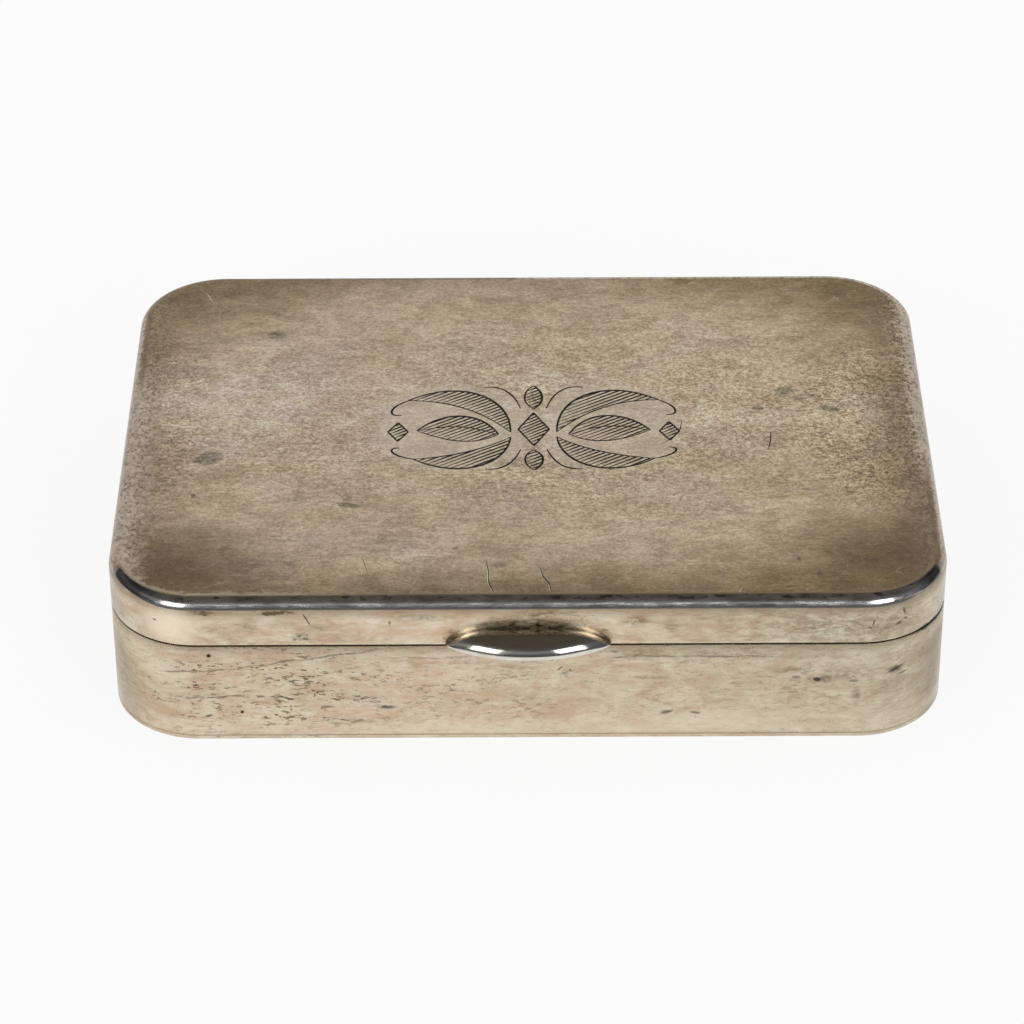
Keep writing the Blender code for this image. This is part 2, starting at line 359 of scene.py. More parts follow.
def make_guide_rim(inside):
    """The upright strip inside the tray, open at the back, with its top edge rounded for the lid."""
    high = Vector((RIM_HIGH.x, -RIM_LOW.y, RIM_HIGH.z))
    rim = rounded_block("guide_rim", RIM_LOW, high, CORNER_RADIUS - RIM_INSET)
    open_at(rim, RIM_LOW.z, RIM_HIGH.z)
    pick(rim, "verts")
    bpy.ops.mesh.bisect(plane_co=(0, RIM_HIGH.y, 0), plane_no=(0, 1, 0), clear_outer=True)
    give_thickness(rim, RIM_SHEET)
    ease(rim, level_at(RIM_HIGH.z), 0.16 * MM, 3)
    dress(rim, [inside])
    return rim


def make_bearer(name, node, inside, seat):
    """A strip that the knuckles sit in, hollowed for the barrel and with its edges just broken."""
    low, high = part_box(node)
    strip = block(name, low, high)
    ease(strip, lambda edge: middle_of(edge).y < (low.y + high.y) / 2, 0.1 * MM)
    cut(strip, barrel_seat())
    dress(strip, [inside, seat], lambda face: int(near_hinge(face)))
    return strip


def make_first_knuckle():
    """One length of hinge tube: a bored bar with rounded ends, from which the others are copied."""
    length = KNUCKLE_HIGH.x - KNUCKLE_LOW.x
    middle = (KNUCKLE_LOW + KNUCKLE_HIGH) / 2
    tube = cross_bar("knuckle_pattern", BARREL_SIDES, BARREL_RADIUS, length, middle)
    at_end = upright_at(KNUCKLE_LOW.x, KNUCKLE_HIGH.x)

    def from_hinge(edge):
        return [(corner.co - HINGE_LINE).yz.length for corner in edge.verts]

    pick(tube, "faces", lambda face: abs(face.normal.x) > 0.9)
    bpy.ops.mesh.inset(thickness=BARREL_RADIUS - BORE_RADIUS, use_even_offset=True)
    bpy.ops.mesh.delete(type="FACE")
    pick(tube, "edges", lambda edge: max(from_hinge(edge)) < BARREL_RADIUS * 0.8)
    bpy.ops.mesh.bridge_edge_loops()
    ease(tube, lambda edge: at_end(edge) and min(from_hinge(edge)) > BARREL_RADIUS * 0.95, 0.09 * MM, 3)
    pick(tube, "faces")
    bpy.ops.mesh.remove_doubles(threshold=1e-7)
    bpy.ops.mesh.normals_make_consistent(inside=False)
    begin()
    return tube


def make_knuckles(outside):
    """Nine knuckles, turn and turn about, each with its own mesh."""
    pattern = make_first_knuckle()
    made = []
    for node in sorted(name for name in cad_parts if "knuckle" in name):
        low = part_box(node)[0]
        knuckle = pattern.copy()
        knuckle.data = pattern.data.copy()
        knuckle.name = knuckle.data.name = node.replace("knuckle", "tube")
        bpy.context.scene.collection.objects.link(knuckle)
        knuckle.data.transform(Matrix.Translation((low.x - KNUCKLE_LOW.x, 0, 0)))
        dress(knuckle, [outside])
        made.append((knuckle, node))
    bpy.data.objects.remove(pattern, do_unlink=True)
    return made


def make_pin(outside):
    """The wire that the knuckles turn on, with its ends eased."""
    wire = cross_bar("hinge_wire", 40, (PIN_HIGH.z - PIN_LOW.z) / 2, PIN_HIGH.x - PIN_LOW.x, HINGE_LINE)
    ease(wire, upright_at(PIN_LOW.x, PIN_HIGH.x), 0.12 * MM, 3)
    dress(wire, [outside])
    return wire


def make_cap(name, node, outside):
    """A small plug with a cushioned outer face."""
    low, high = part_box(node)
    side = 1 if low.x > 0 else -1
    plug = cross_bar(name, BARREL_SIDES, BARREL_RADIUS, high.x - low.x, (low + high) / 2)
    ease(plug, upright_at(high.x if side > 0 else low.x), 0.34 * MM, 6)
    pick(plug, "faces", lambda face: face.normal.x * side > 0.99)
    bpy.ops.mesh.inset(thickness=0.3 * MM, use_even_offset=True)
    dress(plug, [outside])
    return plug


def make_thumb_lift(outside):
    """The bright crescent on the lid's front, drawn out of a ball.

    It is level by the wall and full in front, with a thin lip below.
    """
    half = (THUMB_HIGH.x - THUMB_LOW.x) / 2
    rise = THUMB_HIGH.z - THUMB_LOW.z
    root = Vector((0, LID_LOW.y, THUMB_LOW.z))
    begin()
    bpy.ops.mesh.primitive_uv_sphere_add(
        segments=144,
        ring_count=80,
        radius=1,
        location=root,
        rotation=(0, pi / 2, 0),
        scale=(rise, THUMB_REACH, half),
    )
    lift = settled("thumb_lift")

    def section_turn(corner):
        """How far round the section a corner lies, from the front upwards."""
        return atan2((corner.co.z - root.z) / rise, (root.y - corner.co.y) / THUMB_REACH)

    def thinned(station):
        return 1 - THUMB_THINNING * abs(station) ** 3

    for step in range(1, 36):
        turn = radians(2.5 * step)
        swell = (cos(turn) ** THUMB_SECTION + sin(turn) ** THUMB_SECTION) ** (-1 / THUMB_SECTION)
        pick(lift, "verts", lambda corner: abs(section_turn(corner) - turn) < 0.01)
        bpy.ops.transform.resize(value=(1, swell, swell), center_override=root)
    for station in sorted({round(corner.co.x / half, 5) for corner in lift.data.vertices}):
        ball = sqrt(max(0, 1 - station**2))
        if ball < 1e-3:
            continue
        bow = (1 - station**2) ** THUMB_BOW
        crown = (1 - abs(station) ** 5) ** THUMB_CROWN / thinned(station)
        pick(lift, "verts", lambda corner: abs(corner.co.x / half - station) < 2e-5)
        bpy.ops.transform.resize(value=(1, bow / ball, crown / ball), center_override=root)

    lip = root + Vector((0, 0, THUMB_LIP))
    for side, place in (((0, 1, 0), root), ((0, 0, -1), lip)):
        pick(lift, "faces")
        bpy.ops.mesh.bisect(plane_co=place, plane_no=side, clear_outer=True, use_fill=True, threshold=1e-7)
    pick(lift, "faces", lambda face: face.normal.z < -0.9 and level_at(lip.z)(face))
    bpy.ops.mesh.extrude_region_move(TRANSFORM_OT_translate={"value": (0, 0, -THUMB_LIP)})
    corners = bmesh.from_edit_mesh(lift.data).verts
    reach = max(abs(corner.co.x) for corner in corners)
    front = min(corner.co.y for corner in corners)
    pick(lift, "faces")
    bpy.ops.transform.resize(value=(half / reach, THUMB_REACH / (root.y - front), 1), center_override=root)
    corners = bmesh.from_edit_mesh(lift.data).verts
    for station in sorted({round(abs(corner.co.x) / half, 3) for corner in corners}):
        pick(lift, "verts", lambda corner: round(abs(corner.co.x) / half, 3) == station)
        bpy.ops.transform.resize(value=(1, 1, thinned(station)), center_override=root)

    ease(lift, lambda edge: level_at(root.z)(edge) and middle_of(edge).y < root.y - 1e-5, 0.05 * MM)
    pick(lift, "faces")
    bpy.ops.mesh.normals_make_consistent(inside=False)
    dress(lift, [outside], sharp=14)
    return lift


def lid_sheet_blank():
    """The lid's top: a flat sheet rolled over into a round shoulder, before it is engraved."""
    blank = rounded_block("lid_sheet", TOP_LOW, TOP_HIGH, CORNER_RADIUS)
    ease(blank, level_at(TOP_HIGH.z), SHOULDER_RADIUS, 18)
    open_at(blank, TOP_LOW.z)
    pick(blank, "faces", lambda face: face.normal.z > 0.9999 and len(face.verts) > 8)
    bpy.ops.mesh.inset(thickness=0.3 * MM, use_even_offset=True)
    give_thickness(blank, SHEET)
    return blank


# Engraving, drawn in millimetres

HATCH_SLOPE = radians(33)
HATCH_PITCH = 0.47
LOZENGE_SLOPE = radians(36)
LOZENGE_PITCH = 0.43
OPEN_LINES = (
    (((3.7, -1.3), (6.4, 0.4), (8.8, 0.5), (11.2, -0.6)), 12, 0.7),
    (((12.5, 4.9), (14.6, 3.8), (14.7, 1.9), (13.2, 2.2)), 14, 0.95),
    (((11.8, -5.7), (14.2, -5.2), (14.7, -3.6), (13.3, -3.7)), 14, 0.95),
    (((1.3, 3.4), (2.0, 6.6), (3.4, 7.7), (5.0, 7.3)), 14, 0.85),
    (((1.3, -4.0), (2.1, -6.9), (3.3, -7.7), (4.8, -7.5)), 14, 0.85),
)
LEAVES = (
    ((2.3, -0.9), (2.2, 5.6), (7.4, 9.0), (12.6, 4.9), (9.2, 5.0), (5.6, 3.6)),
    ((2.3, -1.8), (2.6, -6.6), (7.2, -9.4), (11.9, -5.7), (8.8, -5.4), (5.0, -4.2)),
    ((3.5, -1.3), (5.2, 2.8), (8.9, 3.2), (11.6, -0.6), (8.6, -2.6), (6.0, -3.4)),
)

# Deep old scratches in the lid's top, from its middle, with how heavy each is along its way
LONG_SCRATCHES = (
    ([(-4.05, -22.7), (-3.8, -24.6), (-3.75, -26.6), (-3.3, -28.2)], [0.3, 0.55, 0.6, 0.4]),
    ([(1.05, -24.0), (1.35, -25.6), (2.0, -27.0), (2.15, -28.4)], [0.3, 0.6, 0.6, 0.4]),
    ([(24.25, -1.0), (24.15, -2.6), (23.85, -4.3)], [0.3, 0.5, 0.25]),
    ([(15.5, 1.1), (15.3, -0.4), (14.6, -1.9), (13.3, -3.2)], [0.2, 0.45, 0.5, 0.25]),
    ([(-15.9, -22.2), (-15.5, -23.6), (-15.2, -25.0)], [0.25, 0.4, 0.3]),
)


def bezier(start, first, second, end, count=16):
    points = interpolate_bezier(*(Vector((x, y, 0)) for x, y in (start, first, second, end)), count)
    return [(point.x, point.y) for point in points]


def leaf(tip, out_1, out_2, end, back_1, back_2):
    """A closed leaf between two tips: its outer edge, then its inner edge."""
    return bezier(tip, out_1, out_2, end), bezier(end, back_1, back_2, tip)


def mirrored(points):
    return [(-x, y) for x, y in points]


def inside_spans(outline, origin, along):
    """Where an endless line runs inside a closed outline, as pairs of distances along it."""
    across = (-along[1], along[0])
    meets = []
    for (x1, y1), (x2, y2) in zip(outline, outline[1:] + outline[:1]):
        off_1 = (x1 - origin[0]) * across[0] + (y1 - origin[1]) * across[1]
        off_2 = (x2 - origin[0]) * across[0] + (y2 - origin[1]) * across[1]
        if (off_1 < 0) == (off_2 < 0):
            continue
        share = off_1 / (off_1 - off_2)
        x, y = x1 + share * (x2 - x1), y1 + share * (y2 - y1)
        meets.append((x - origin[0]) * along[0] + (y - origin[1]) * along[1])
    meets.sort()
    return list(zip(meets[::2], meets[1::2]))


def hatching(outline, slope, pitch):
    """Parallel strokes that fill an outline, each heavier towards its shaded end."""
    along = (cos(slope), sin(slope))
    across = (-along[1], along[0])
    reach = [x * across[0] + y * across[1] for x, y in outline]
    strokes = []
    level = min(reach) + pitch * 0.6
    while level < max(reach) - pitch * 0.3:
        origin = (across[0] * level, across[1] * level)
        for near, far in inside_spans(outline, origin, along):
            if far - near < 0.35:
                continue
            stops = [near + 0.09, near + (far - near) * 0.5, far - 0.09]
            points = [(origin[0] + along[0] * stop, origin[1] + along[1] * stop) for stop in stops]
            strokes.append((points, [0.5, 0.95, 1.1]))
        level += pitch
    return strokes


def taper(count, weight):
    """Stroke weights that swell from a fine start and run out fine again."""
    turns = [pi * (0.08 + 0.84 * step / (count - 1)) for step in range(count)]
    return [weight * (0.35 + 0.65 * sin(turn) ** 0.6) for turn in turns]


def ornament_strokes():
    """A traditional spray: a hatched lozenge with a bud above and below, and three leaves to each side."""
    outlines, hatches = [], []

    def draw_leaf(outer, inner, weight):
        outlines.append((outer, taper(len(outer), weight)))
        outlines.append((inner, taper(len(inner), 0.8)))
        hatches.extend(hatching(outer[:-1] + inner[:-1], HATCH_SLOPE, HATCH_PITCH))

    def draw_lozenge(x, y, half_width, half_height):
        corners = [(x - half_width, y), (x, y + half_height), (x + half_width, y), (x, y - half_height)]
        sides = zip(corners, corners[1:] + corners[:1])
        outlines.extend(([first, second], [0.8, 0.8]) for first, second in sides)
        hatches.extend(hatching(corners, LOZENGE_SLOPE, LOZENGE_PITCH))

    for side, turned in ((1, list), (-1, mirrored)):
        for bends in LEAVES:
            outer, inner = leaf(*bends)
            draw_leaf(turned(outer), turned(inner), 1.15)
        for bends, count, weight in OPEN_LINES:
            outlines.append((turned(bezier(*bends, count)), taper(count, weight)))
        draw_lozenge(side * 13.5, -0.8, 1.0, 1.7)
    draw_lozenge(0, -0.4, 1.55, 3.0)
    for tip, end in ((3.3, 7.6), (-4.1, -7.7)):
        third = (end - tip) / 3
        near, far = tip + third, end - third * 0.5
        draw_leaf(*leaf((0, tip), (1.5, near), (0.8, far), (0, end), (-0.8, far), (-1.5, near)), 1.0)
    return outlines, hatches


def graver_cuts(name, strokes, place, half_width):
    """Thin bars of square section, edge down, one to each stroke, that leave V-shaped cuts."""
    begin()
    bpy.ops.curve.primitive_bezier_curve_add(location=(0, 0, 0))
    line = bpy.context.view_layer.objects.active.data
    line.dimensions = "3D"
    line.splines.clear()
    line.bevel_depth = half_width
    line.bevel_resolution = 0
    line.use_fill_caps = True
    line.twist_mode = "Z_UP"
    for points, weights in strokes:
        spline = line.splines.new("POLY")
        spline.points.add(len(points) - 1)
        for corner, (x, y), weight in zip(spline.points, points, weights):
            corner.co = (place.x + x * MM, place.y + y * MM, place.z + 0.013 * MM, 1)
            corner.radius = weight
    bpy.ops.object.convert(target="MESH")
    bars = settled(name)
    pick(bars, "verts")
    bpy.ops.mesh.remove_doubles(threshold=1e-7)
    bpy.ops.mesh.quads_convert_to_tris()
    bpy.ops.mesh.normals_make_consistent(inside=False)
    begin()
    return bars


def make_lid_sheet(finishes):
    """The rolled sheet with the ornament and the scratches cut into it."""
    sheet = lid_sheet_blank()
    middle = Vector((0.7 * MM, 0, TOP_HIGH.z))
    outlines, hatches = ornament_strokes()
    for name, strokes, place, half_width in (
        ("ornament_hatching", hatches, middle, 0.118 * MM),
        ("ornament_outlines", outlines, middle, 0.140 * MM),
        ("scratches", LONG_SCRATCHES, Vector((0, 0, TOP_HIGH.z)), 0.17 * MM),
    ):
        cut(sheet, graver_cuts(name, strokes, place, half_width), overlapping=True)
    pick(sheet, "faces")
    bpy.ops.mesh.remove_doubles(threshold=1e-7)
    bpy.ops.mesh.dissolve_degenerate(threshold=1e-7)

    flat_top, inside, groove, rolled, lit_scratch_flank = range(len(finishes))

    def choose(face):
        height = face.center.z - TOP_HIGH.z
        if height < -0.3 * MM and face.normal.z < -0.5 or height < -0.5 * MM and faces_inwards(face):
            return inside
        if face.normal.z > 0.9995 and height > -1e-6:
            return flat_top
        if depth_inside(face.center) <= SHOULDER_RADIUS + 0.02 * MM or height <= -0.3 * MM:
            return rolled
        # Flanks of the front scratches that face right take a painted highlight
        return lit_scratch_flank if face.normal.x > 0.1 and face.center.y < -8 * MM else groove

    dress(sheet, finishes, choose)
    return sheet


# Finishes


def in_mm(lengths):
    return tuple(length * MM for length in lengths)


class Value:
    """A number or colour that nodes work out, to reckon with like a plain number."""

    def __init__(self, nodes, socket):
        self.nodes = nodes
        self.socket = socket

    def __add__(self, other):
        return self.nodes.math("ADD", self, other)

    def __sub__(self, other):
        return self.nodes.math("SUBTRACT", self, other)

    def __rsub__(self, other):
        return self.nodes.math("SUBTRACT", other, self)

    def __mul__(self, other):
        return self.nodes.math("MULTIPLY", self, other)

    def __pow__(self, other):
        return self.nodes.math("POWER", self, other)

    def __abs__(self):
        return self.nodes.math("ABSOLUTE", self, 0)

    def graded(self, low, high, start=0.0, end=1.0):
        """Goes smoothly from start to end while this value goes from low to high."""
        feeds = {"Value": self, "From Min": low, "From Max": high, "To Min": start, "To Max": end}
        return self.nodes.value("ShaderNodeMapRange", feeds, interpolation_type="SMOOTHSTEP")


class Nodes:
    """A node tree being built."""

    def __init__(self, tree):
        self.tree = tree

    def add(self, kind, feeds=None, **settings):
        node = self.tree.nodes.new(kind)
        for name, value in settings.items():
            setattr(node, name, value)
        for socket, value in (feeds or {}).items():
            self.feed(node.inputs[socket], value)
        return node

    def value(self, kind, feeds=None, output=0, **settings):
        """What one output of a new node gives."""
        return Value(self, self.add(kind, feeds, **settings).outputs[output])

    def feed(self, socket, value):
        if isinstance(value, Value):
            self.tree.links.new(value.socket, socket)
        else:
            socket.default_value = value

    def axes(self, place):
        return [Value(self, axis) for axis in self.add("ShaderNodeSeparateXYZ", {0: place}).outputs]

    def math(self, operation, first, second, clamp=False):
        return self.value("ShaderNodeMath", {0: first, 1: second}, operation=operation, use_clamp=clamp)

    def higher(self, first, second):
        return self.math("MAXIMUM", first, second)

    def less(self, mask, other):
        """A mask with another one taken out of it."""
        return self.math("MULTIPLY", mask, self.math("SUBTRACT", 1, other, clamp=True))

    def mixed(self, factor, first, second):
        """One number faded into another."""
        return self.value("ShaderNodeMix", {"Factor": factor, 2: first, 3: second}, data_type="FLOAT")

    def blended(self, factor, first, second, way="MIX"):
        """One colour faded into another."""
        feeds = {"Factor": factor, 6: first, 7: second}
        return self.value("ShaderNodeMix", feeds, 2, data_type="RGBA", blend_type=way)

    def dappled(self, share, tone, pattern, dark, light):
        """A tone made darker and lighter by a pattern."""
        return self.blended(share, tone, self.blended(pattern, dark, light), "OVERLAY")

    def rays(self, *kinds):
        """1 for rays of the given kinds."""
        path = self.add("ShaderNodeLightPath").outputs
        return reduce(self.higher, [Value(self, path[f"Is {kind} Ray"]) for kind in kinds])


class Finish(Nodes):
    """A metal finish being built on the piece's own coordinates, in metres."""

    def __init__(self, name, metallic, roughness):
        self.material = bpy.data.materials.new(name)
        self.material.use_nodes = True
        super().__init__(self.material.node_tree)
        self.shader = self.tree.nodes["Principled BSDF"]
        self.shader.inputs["Metallic"].default_value = metallic
        self.shader.inputs["Roughness"].default_value = roughness
        self.relief = None
        self.place = self.value("ShaderNodeTexCoord", output="Object")
        self.x, self.y, self.z = self.axes(self.place)

    def grain(self, size, shift, rough=0.6, detail=3, twist=0.0):
        """Noise whose features are about this long, wide and deep, in millimetres."""
        feeds = {
            "Vector": self.place,
            "Location": (shift, shift * 1.7, shift * 2.3),
            "Scale": tuple(1 / length for length in in_mm(size)),
        }
        moved = self.value("ShaderNodeMapping", feeds)
        feeds = {"Vector": moved, "Scale": 1.0, "Detail": detail, "Roughness": rough, "Distortion": twist}
        return self.value("ShaderNodeTexNoise", feeds)

    def hairlines(self, size, width, shift, keep_size, keep):
        """Fine wandering lines where a noise crosses its middle, broken up by a second noise."""
        off = abs(self.grain(size, shift, 0.4, detail=1, twist=0.6) - 0.5)
        broken = self.grain(keep_size, shift + 5, 0.5, detail=2).graded(keep, keep + 0.06)
        return off.graded(width, 0.0) * broken

    def warped(self, size, amount):
        """The piece's coordinates pushed about by noise, so that edges drawn on them are ragged."""
        feeds = {"Vector": self.place, "Scale": 1 / (size * MM), "Detail": 4.0}
        noise = self.value("ShaderNodeTexNoise", feeds, "Color")
        centred = self.value("ShaderNodeVectorMath", {0: noise, 1: (0.5, 0.5, 0.5)}, operation="SUBTRACT")
        push = self.value("ShaderNodeVectorMath", {0: centred, "Scale": amount * MM}, operation="SCALE")
        return self.value("ShaderNodeVectorMath", {0: self.place, 1: push})

    def mark(self, place, centre, reach, turn, feather):
        """A soft patch round a point: 1 in its middle and 0 past its reach."""
        feeds = {"Vector": place, "Location": in_mm(centre), "Rotation": turn, "Scale": in_mm(reach)}
        local = self.value("ShaderNodeMapping", feeds, vector_type="TEXTURE")
        far = self.value("ShaderNodeVectorMath", {0: local}, "Value", operation="LENGTH")
        return far.graded(1.0, 1 - feather)

    def marks(self, place, patches):
        """Several patches as one mask."""
        return reduce(self.higher, [self.mark(place, *shape) * strength for *shape, strength in patches])

    def bump(self, height, strength, distance):
        """Relief in millimetres of depth, laid over any relief before it."""
        feeds = {"Height": height, "Strength": strength, "Distance": distance * MM}
        if self.relief:
            feeds["Normal"] = self.relief
        self.relief = self.value("ShaderNodeBump", feeds)
        self.feed(self.shader.inputs["Normal"], self.relief)

    def done(self, colour, roughness=None):
        self.feed(self.shader.inputs["Base Color"], colour)
        if roughness is not None:
            self.feed(self.shader.inputs["Roughness"], roughness)
        return self.material


def around(centre, reach, strength=1.0, feather=0.5, turn=(0, 0, 0)):
    """A patch for Finish.marks, in millimetres."""
    return centre, reach, turn, feather, strength


def on_top(x, y, long, wide, strength=1.0, feather=0.5, degrees=0):
    """A patch that lies on the lid's top."""
    return around((x, y, TOP_Z), (long, wide, 2.5), strength, feather, (0, 0, radians(degrees)))


def on_front(x, z, long, tall, strength=1.0, feather=0.5, degrees=0):
    """A patch that lies on the front wall."""
    return around((x, FRONT_Y, z), (long, 3.5, tall), strength, feather, (0, -radians(degrees), 0))


def by_depth(value, first, last):
    """Goes from 0 to 1 between two depths under the lid's top, in millimetres."""
    return value.graded(TOP_HIGH.z - first * MM, TOP_HIGH.z - last * MM)


def ragged_noise(metal):
    """Noise about nothing that frays the edges of the lid's wear."""
    return metal.grain((1.1, 0.9, 1.1), 31.0, 0.7, detail=4) - 0.5


def right_half(metal):
    return metal.x.graded(-5 * MM, 5 * MM)


def into_corner(metal):
    """How far a place lies past where the front corners begin to turn, sideways and forwards."""
    sideways = metal.higher(abs(metal.x) - (TOP_HIGH.x - CORNER_RADIUS), 0.0)
    forwards = metal.higher(-TOP_HIGH.y + CORNER_RADIUS - metal.y, 0.0)
    return sideways, forwards


def rubbed_bare(metal, at_right):
    """Where the lid's ends are rubbed bare: the right but for its front, and the left but for its back."""
    return (metal.y * metal.mixed(at_right, -1.0, 1.0)).graded(-12 * MM, -4 * MM)


def lid_patina():
    """The lid's flat top: satin silver under a mottled brown tarnish, with handling wear along its ends."""
    metal = Finish("lid_patina", 0.9, 0.5)
    ragged = metal.warped(1.6, 1.5)

    clouds = metal.grain((19, 14, 19), 3.1, 0.55)
    blotches = metal.grain((4.2, 2.9, 4), 7.7, 0.66, detail=4, twist=0.6)
    mottle = metal.grain((1.5, 0.9, 1.0), 1.3, 0.74, detail=4, twist=0.7)
    speckle = metal.grain((0.36, 0.3, 0.3), 19.3, 0.82, twist=0.6)
    brushed = metal.grain((2.6, 0.24, 3.0), 9.2, 0.66, twist=0.15)
    busy = metal.marks(ragged, [
        on_top(9, 2, 37, 25, 0.85, 0.75),
        on_top(-22, 0, 20, 20, 0.6, 0.8),
        on_top(-37, 0, 8, 22, 1.2, 0.8),
        on_top(34, 0, 9, 19, 1.7, 0.6),
    ])
    busy = busy * clouds.graded(0.3, 0.62, 0.6, 1.0)

    across = metal.x * (1 / TOP_HIGH.x)
    along = metal.y * (1 / TOP_HIGH.y)
    border = across * across * across * across + along * along * along * along
    border = border + (clouds - 0.5) * 1.1
    tarnish = border.graded(0.12, 1.15)

    pale_areas = metal.marks(ragged, [
        on_top(-28, 5, 14, 13, 1.0, 0.95, -15),
        on_top(-1, 2, 26, 17, 0.62, 0.9),
        on_top(12, -14, 22, 10, 0.5, 0.95),
        on_top(17, 13, 18, 11, 0.5, 0.95, 20),
        on_top(20, 3, 15, 11, 0.8, 0.95),
        on_top(-12, -22, 9, 4, 0.4, 0.95, 10),
        on_top(32, 3, 7, 15, 0.75, 0.95),
    ])
    dark_areas = metal.marks(ragged, [
        on_top(-33, -24, 14, 10, 1.0, 0.95, 10),
        on_top(35, -23, 15, 10, 1.15, 0.95, -15),
        on_top(0, -30, 44, 7.5, 0.6, 0.95),
        on_top(4, -31, 46, 4.6, 1.0, 0.8),
        on_top(35, 24, 11, 8, 0.65, 0.95, -20),
        on_top(-31, 25, 13, 8, 0.35, 0.95, 15),
        on_top(37, 0, 4, 19, 0.4, 0.95),
    ])
    tone = metal.blended(tarnish, BEIGE, OLIVE)
    tone = metal.blended(pale_areas * 0.8, tone, PALE)
    tone = metal.blended(dark_areas * 0.8, tone, BROWN)
    yellowed = metal.x.graded(-20 * MM, 36 * MM, 0.0, 0.55)
    tone = metal.blended(yellowed, tone, tint(0.51, 0.49, 0.4), "OVERLAY")
    cast = metal.grain((9, 6, 9), 27.0, twist=0.5).graded(0.38, 0.64)
    tone = metal.dappled(0.55, tone, cast, tint(0.52, 0.5, 0.44), tint(0.5, 0.485, 0.52))

    uneven = (blotches * 0.5 + mottle * 0.5).graded(0.38, 0.62)
    tone = metal.dappled(0.27, tone, uneven, DARK_GREY, LIGHT_GREY)
    shade = speckle.graded(0.36, 0.64)
    speckled = busy * 0.62 + metal.less(0.42, dark_areas * 0.25)
    tone = metal.dappled(speckled, tone, shade, DARK_GREY, LIGHT_GREY)
    lines = brushed.graded(0.34, 0.66)
    line_places = metal.grain((7, 5, 7), 33.0).graded(0.36, 0.62, 0.1, 1.0)
    tone = metal.dappled(line_places * 0.14, tone, lines, DARK_GREY, LIGHT_GREY)
    dashes = metal.grain((0.7, 0.26, 0.8), 63.0, 0.78, twist=0.4).graded(0.56, 0.615) * line_places
    tone = metal.blended(dashes * (busy * 0.36 + 0.3), tone, DASH_BROWN)

    clusters = metal.grain((6, 4.5, 6), 15.0).graded(0.36, 0.6)
    flecks = metal.grain((0.6, 0.44, 0.6), 12.4, 0.78, twist=0.8).graded(0.555, 0.61)
    tone = metal.blended(flecks * clusters * (busy * 0.72), tone, FLECK_BROWN)
    light_flecks = metal.grain((0.42, 0.46, 0.5), 45.0, 0.76, twist=0.8).graded(0.58, 0.65)
    tone = metal.blended(light_flecks * (busy * 0.3 + 0.06), tone, PALE)
    short_hairs = metal.hairlines((2.2, 1.6, 2.0), 0.0085, 21.0, (2.2, 1.6, 2.2), 0.54)
    long_hairs = metal.hairlines((4.4, 3.4, 4.0), 0.0045, 26.0, (3, 2.4, 3), 0.55)
    tone = metal.blended(metal.higher(short_hairs, long_hairs) * 0.5, tone, PALE)

    spots = metal.marks(metal.warped(0.7, 0.9), [
        on_top(-25.7, 17.5, 1.25, 1.0, 0.6, 0.35, -10),
        on_top(-25.9, 17.8, 0.5, 0.4, 0.9, 0.4),
        on_top(-31.4, -5.4, 1.7, 1.35, 0.78, 0.35, 25),
        on_top(-32.6, -5.9, 0.6, 0.45, 0.9),
        on_top(-32.4, -11.9, 0.36, 0.45),
        on_top(-17.3, -13.7, 1.5, 0.5, 0.8, 0.5, -12),
        on_top(-17.5, -12.5, 0.6, 0.8, 0.5, 0.6),
        on_top(26.0, 6.4, 1.5, 1.1, 0.7, 0.7, 35),
        on_top(27.5, 5.2, 1.2, 0.8, 0.6, 0.7, -30),
        on_top(30.4, 3.1, 1.5, 0.7, 0.8, 0.6, -12),
        on_top(23.2, 3.2, 0.65, 0.6, 0.9, 0.5, -20),
        on_top(25.7, -23.0, 0.32, 0.4, 0.8),
        on_top(29.0, -23.6, 0.3, 0.35, 0.75),
        on_top(30.8, -23.4, 0.28, 0.35, 0.65),
        on_top(27.5, -25.4, 0.45, 0.5, 0.6),
        on_top(-2.6, -23.8, 1.0, 0.6, 0.5, 0.8),
        on_top(-6.9, -21.0, 0.35, 0.4, 0.55),
        on_top(11.7, -9.5, 0.35, 0.35, 0.5),
        on_top(-27.9, 3.0, 0.7, 1.1, 0.35, 0.9, 15),
    ])
    spots = spots * speckle.graded(0.34, 0.6, 1.0, 0.62)
    tone = metal.blended(spots, tone, SPOT_DARK)
    halo = metal.marks(ragged, [on_top(-6.8, 0, 9.2, 8.9, 0.9, 0.3), on_top(8.2, 0, 9.2, 8.9, 0.9, 0.3)])
    tone = metal.blended(halo * 0.5, tone, PALE)
    light_scores = metal.marks(ragged, [
        on_top(-33.0, 24.8, 1.7, 0.09, 0.8, 0.6, -62),
        on_top(-36.5, 7.6, 3.2, 0.12, 0.5, 0.7, -4),
        on_top(-35.5, 6.4, 3.4, 0.1, 0.5, 0.7, -3),
        on_top(-20.0, -8.2, 2.4, 0.1, 0.7, 0.6, 38),
        on_top(-19.3, 0.9, 1.3, 0.1, 0.6, 0.6),
    ])
    tone = metal.blended(light_scores, tone, PALE)

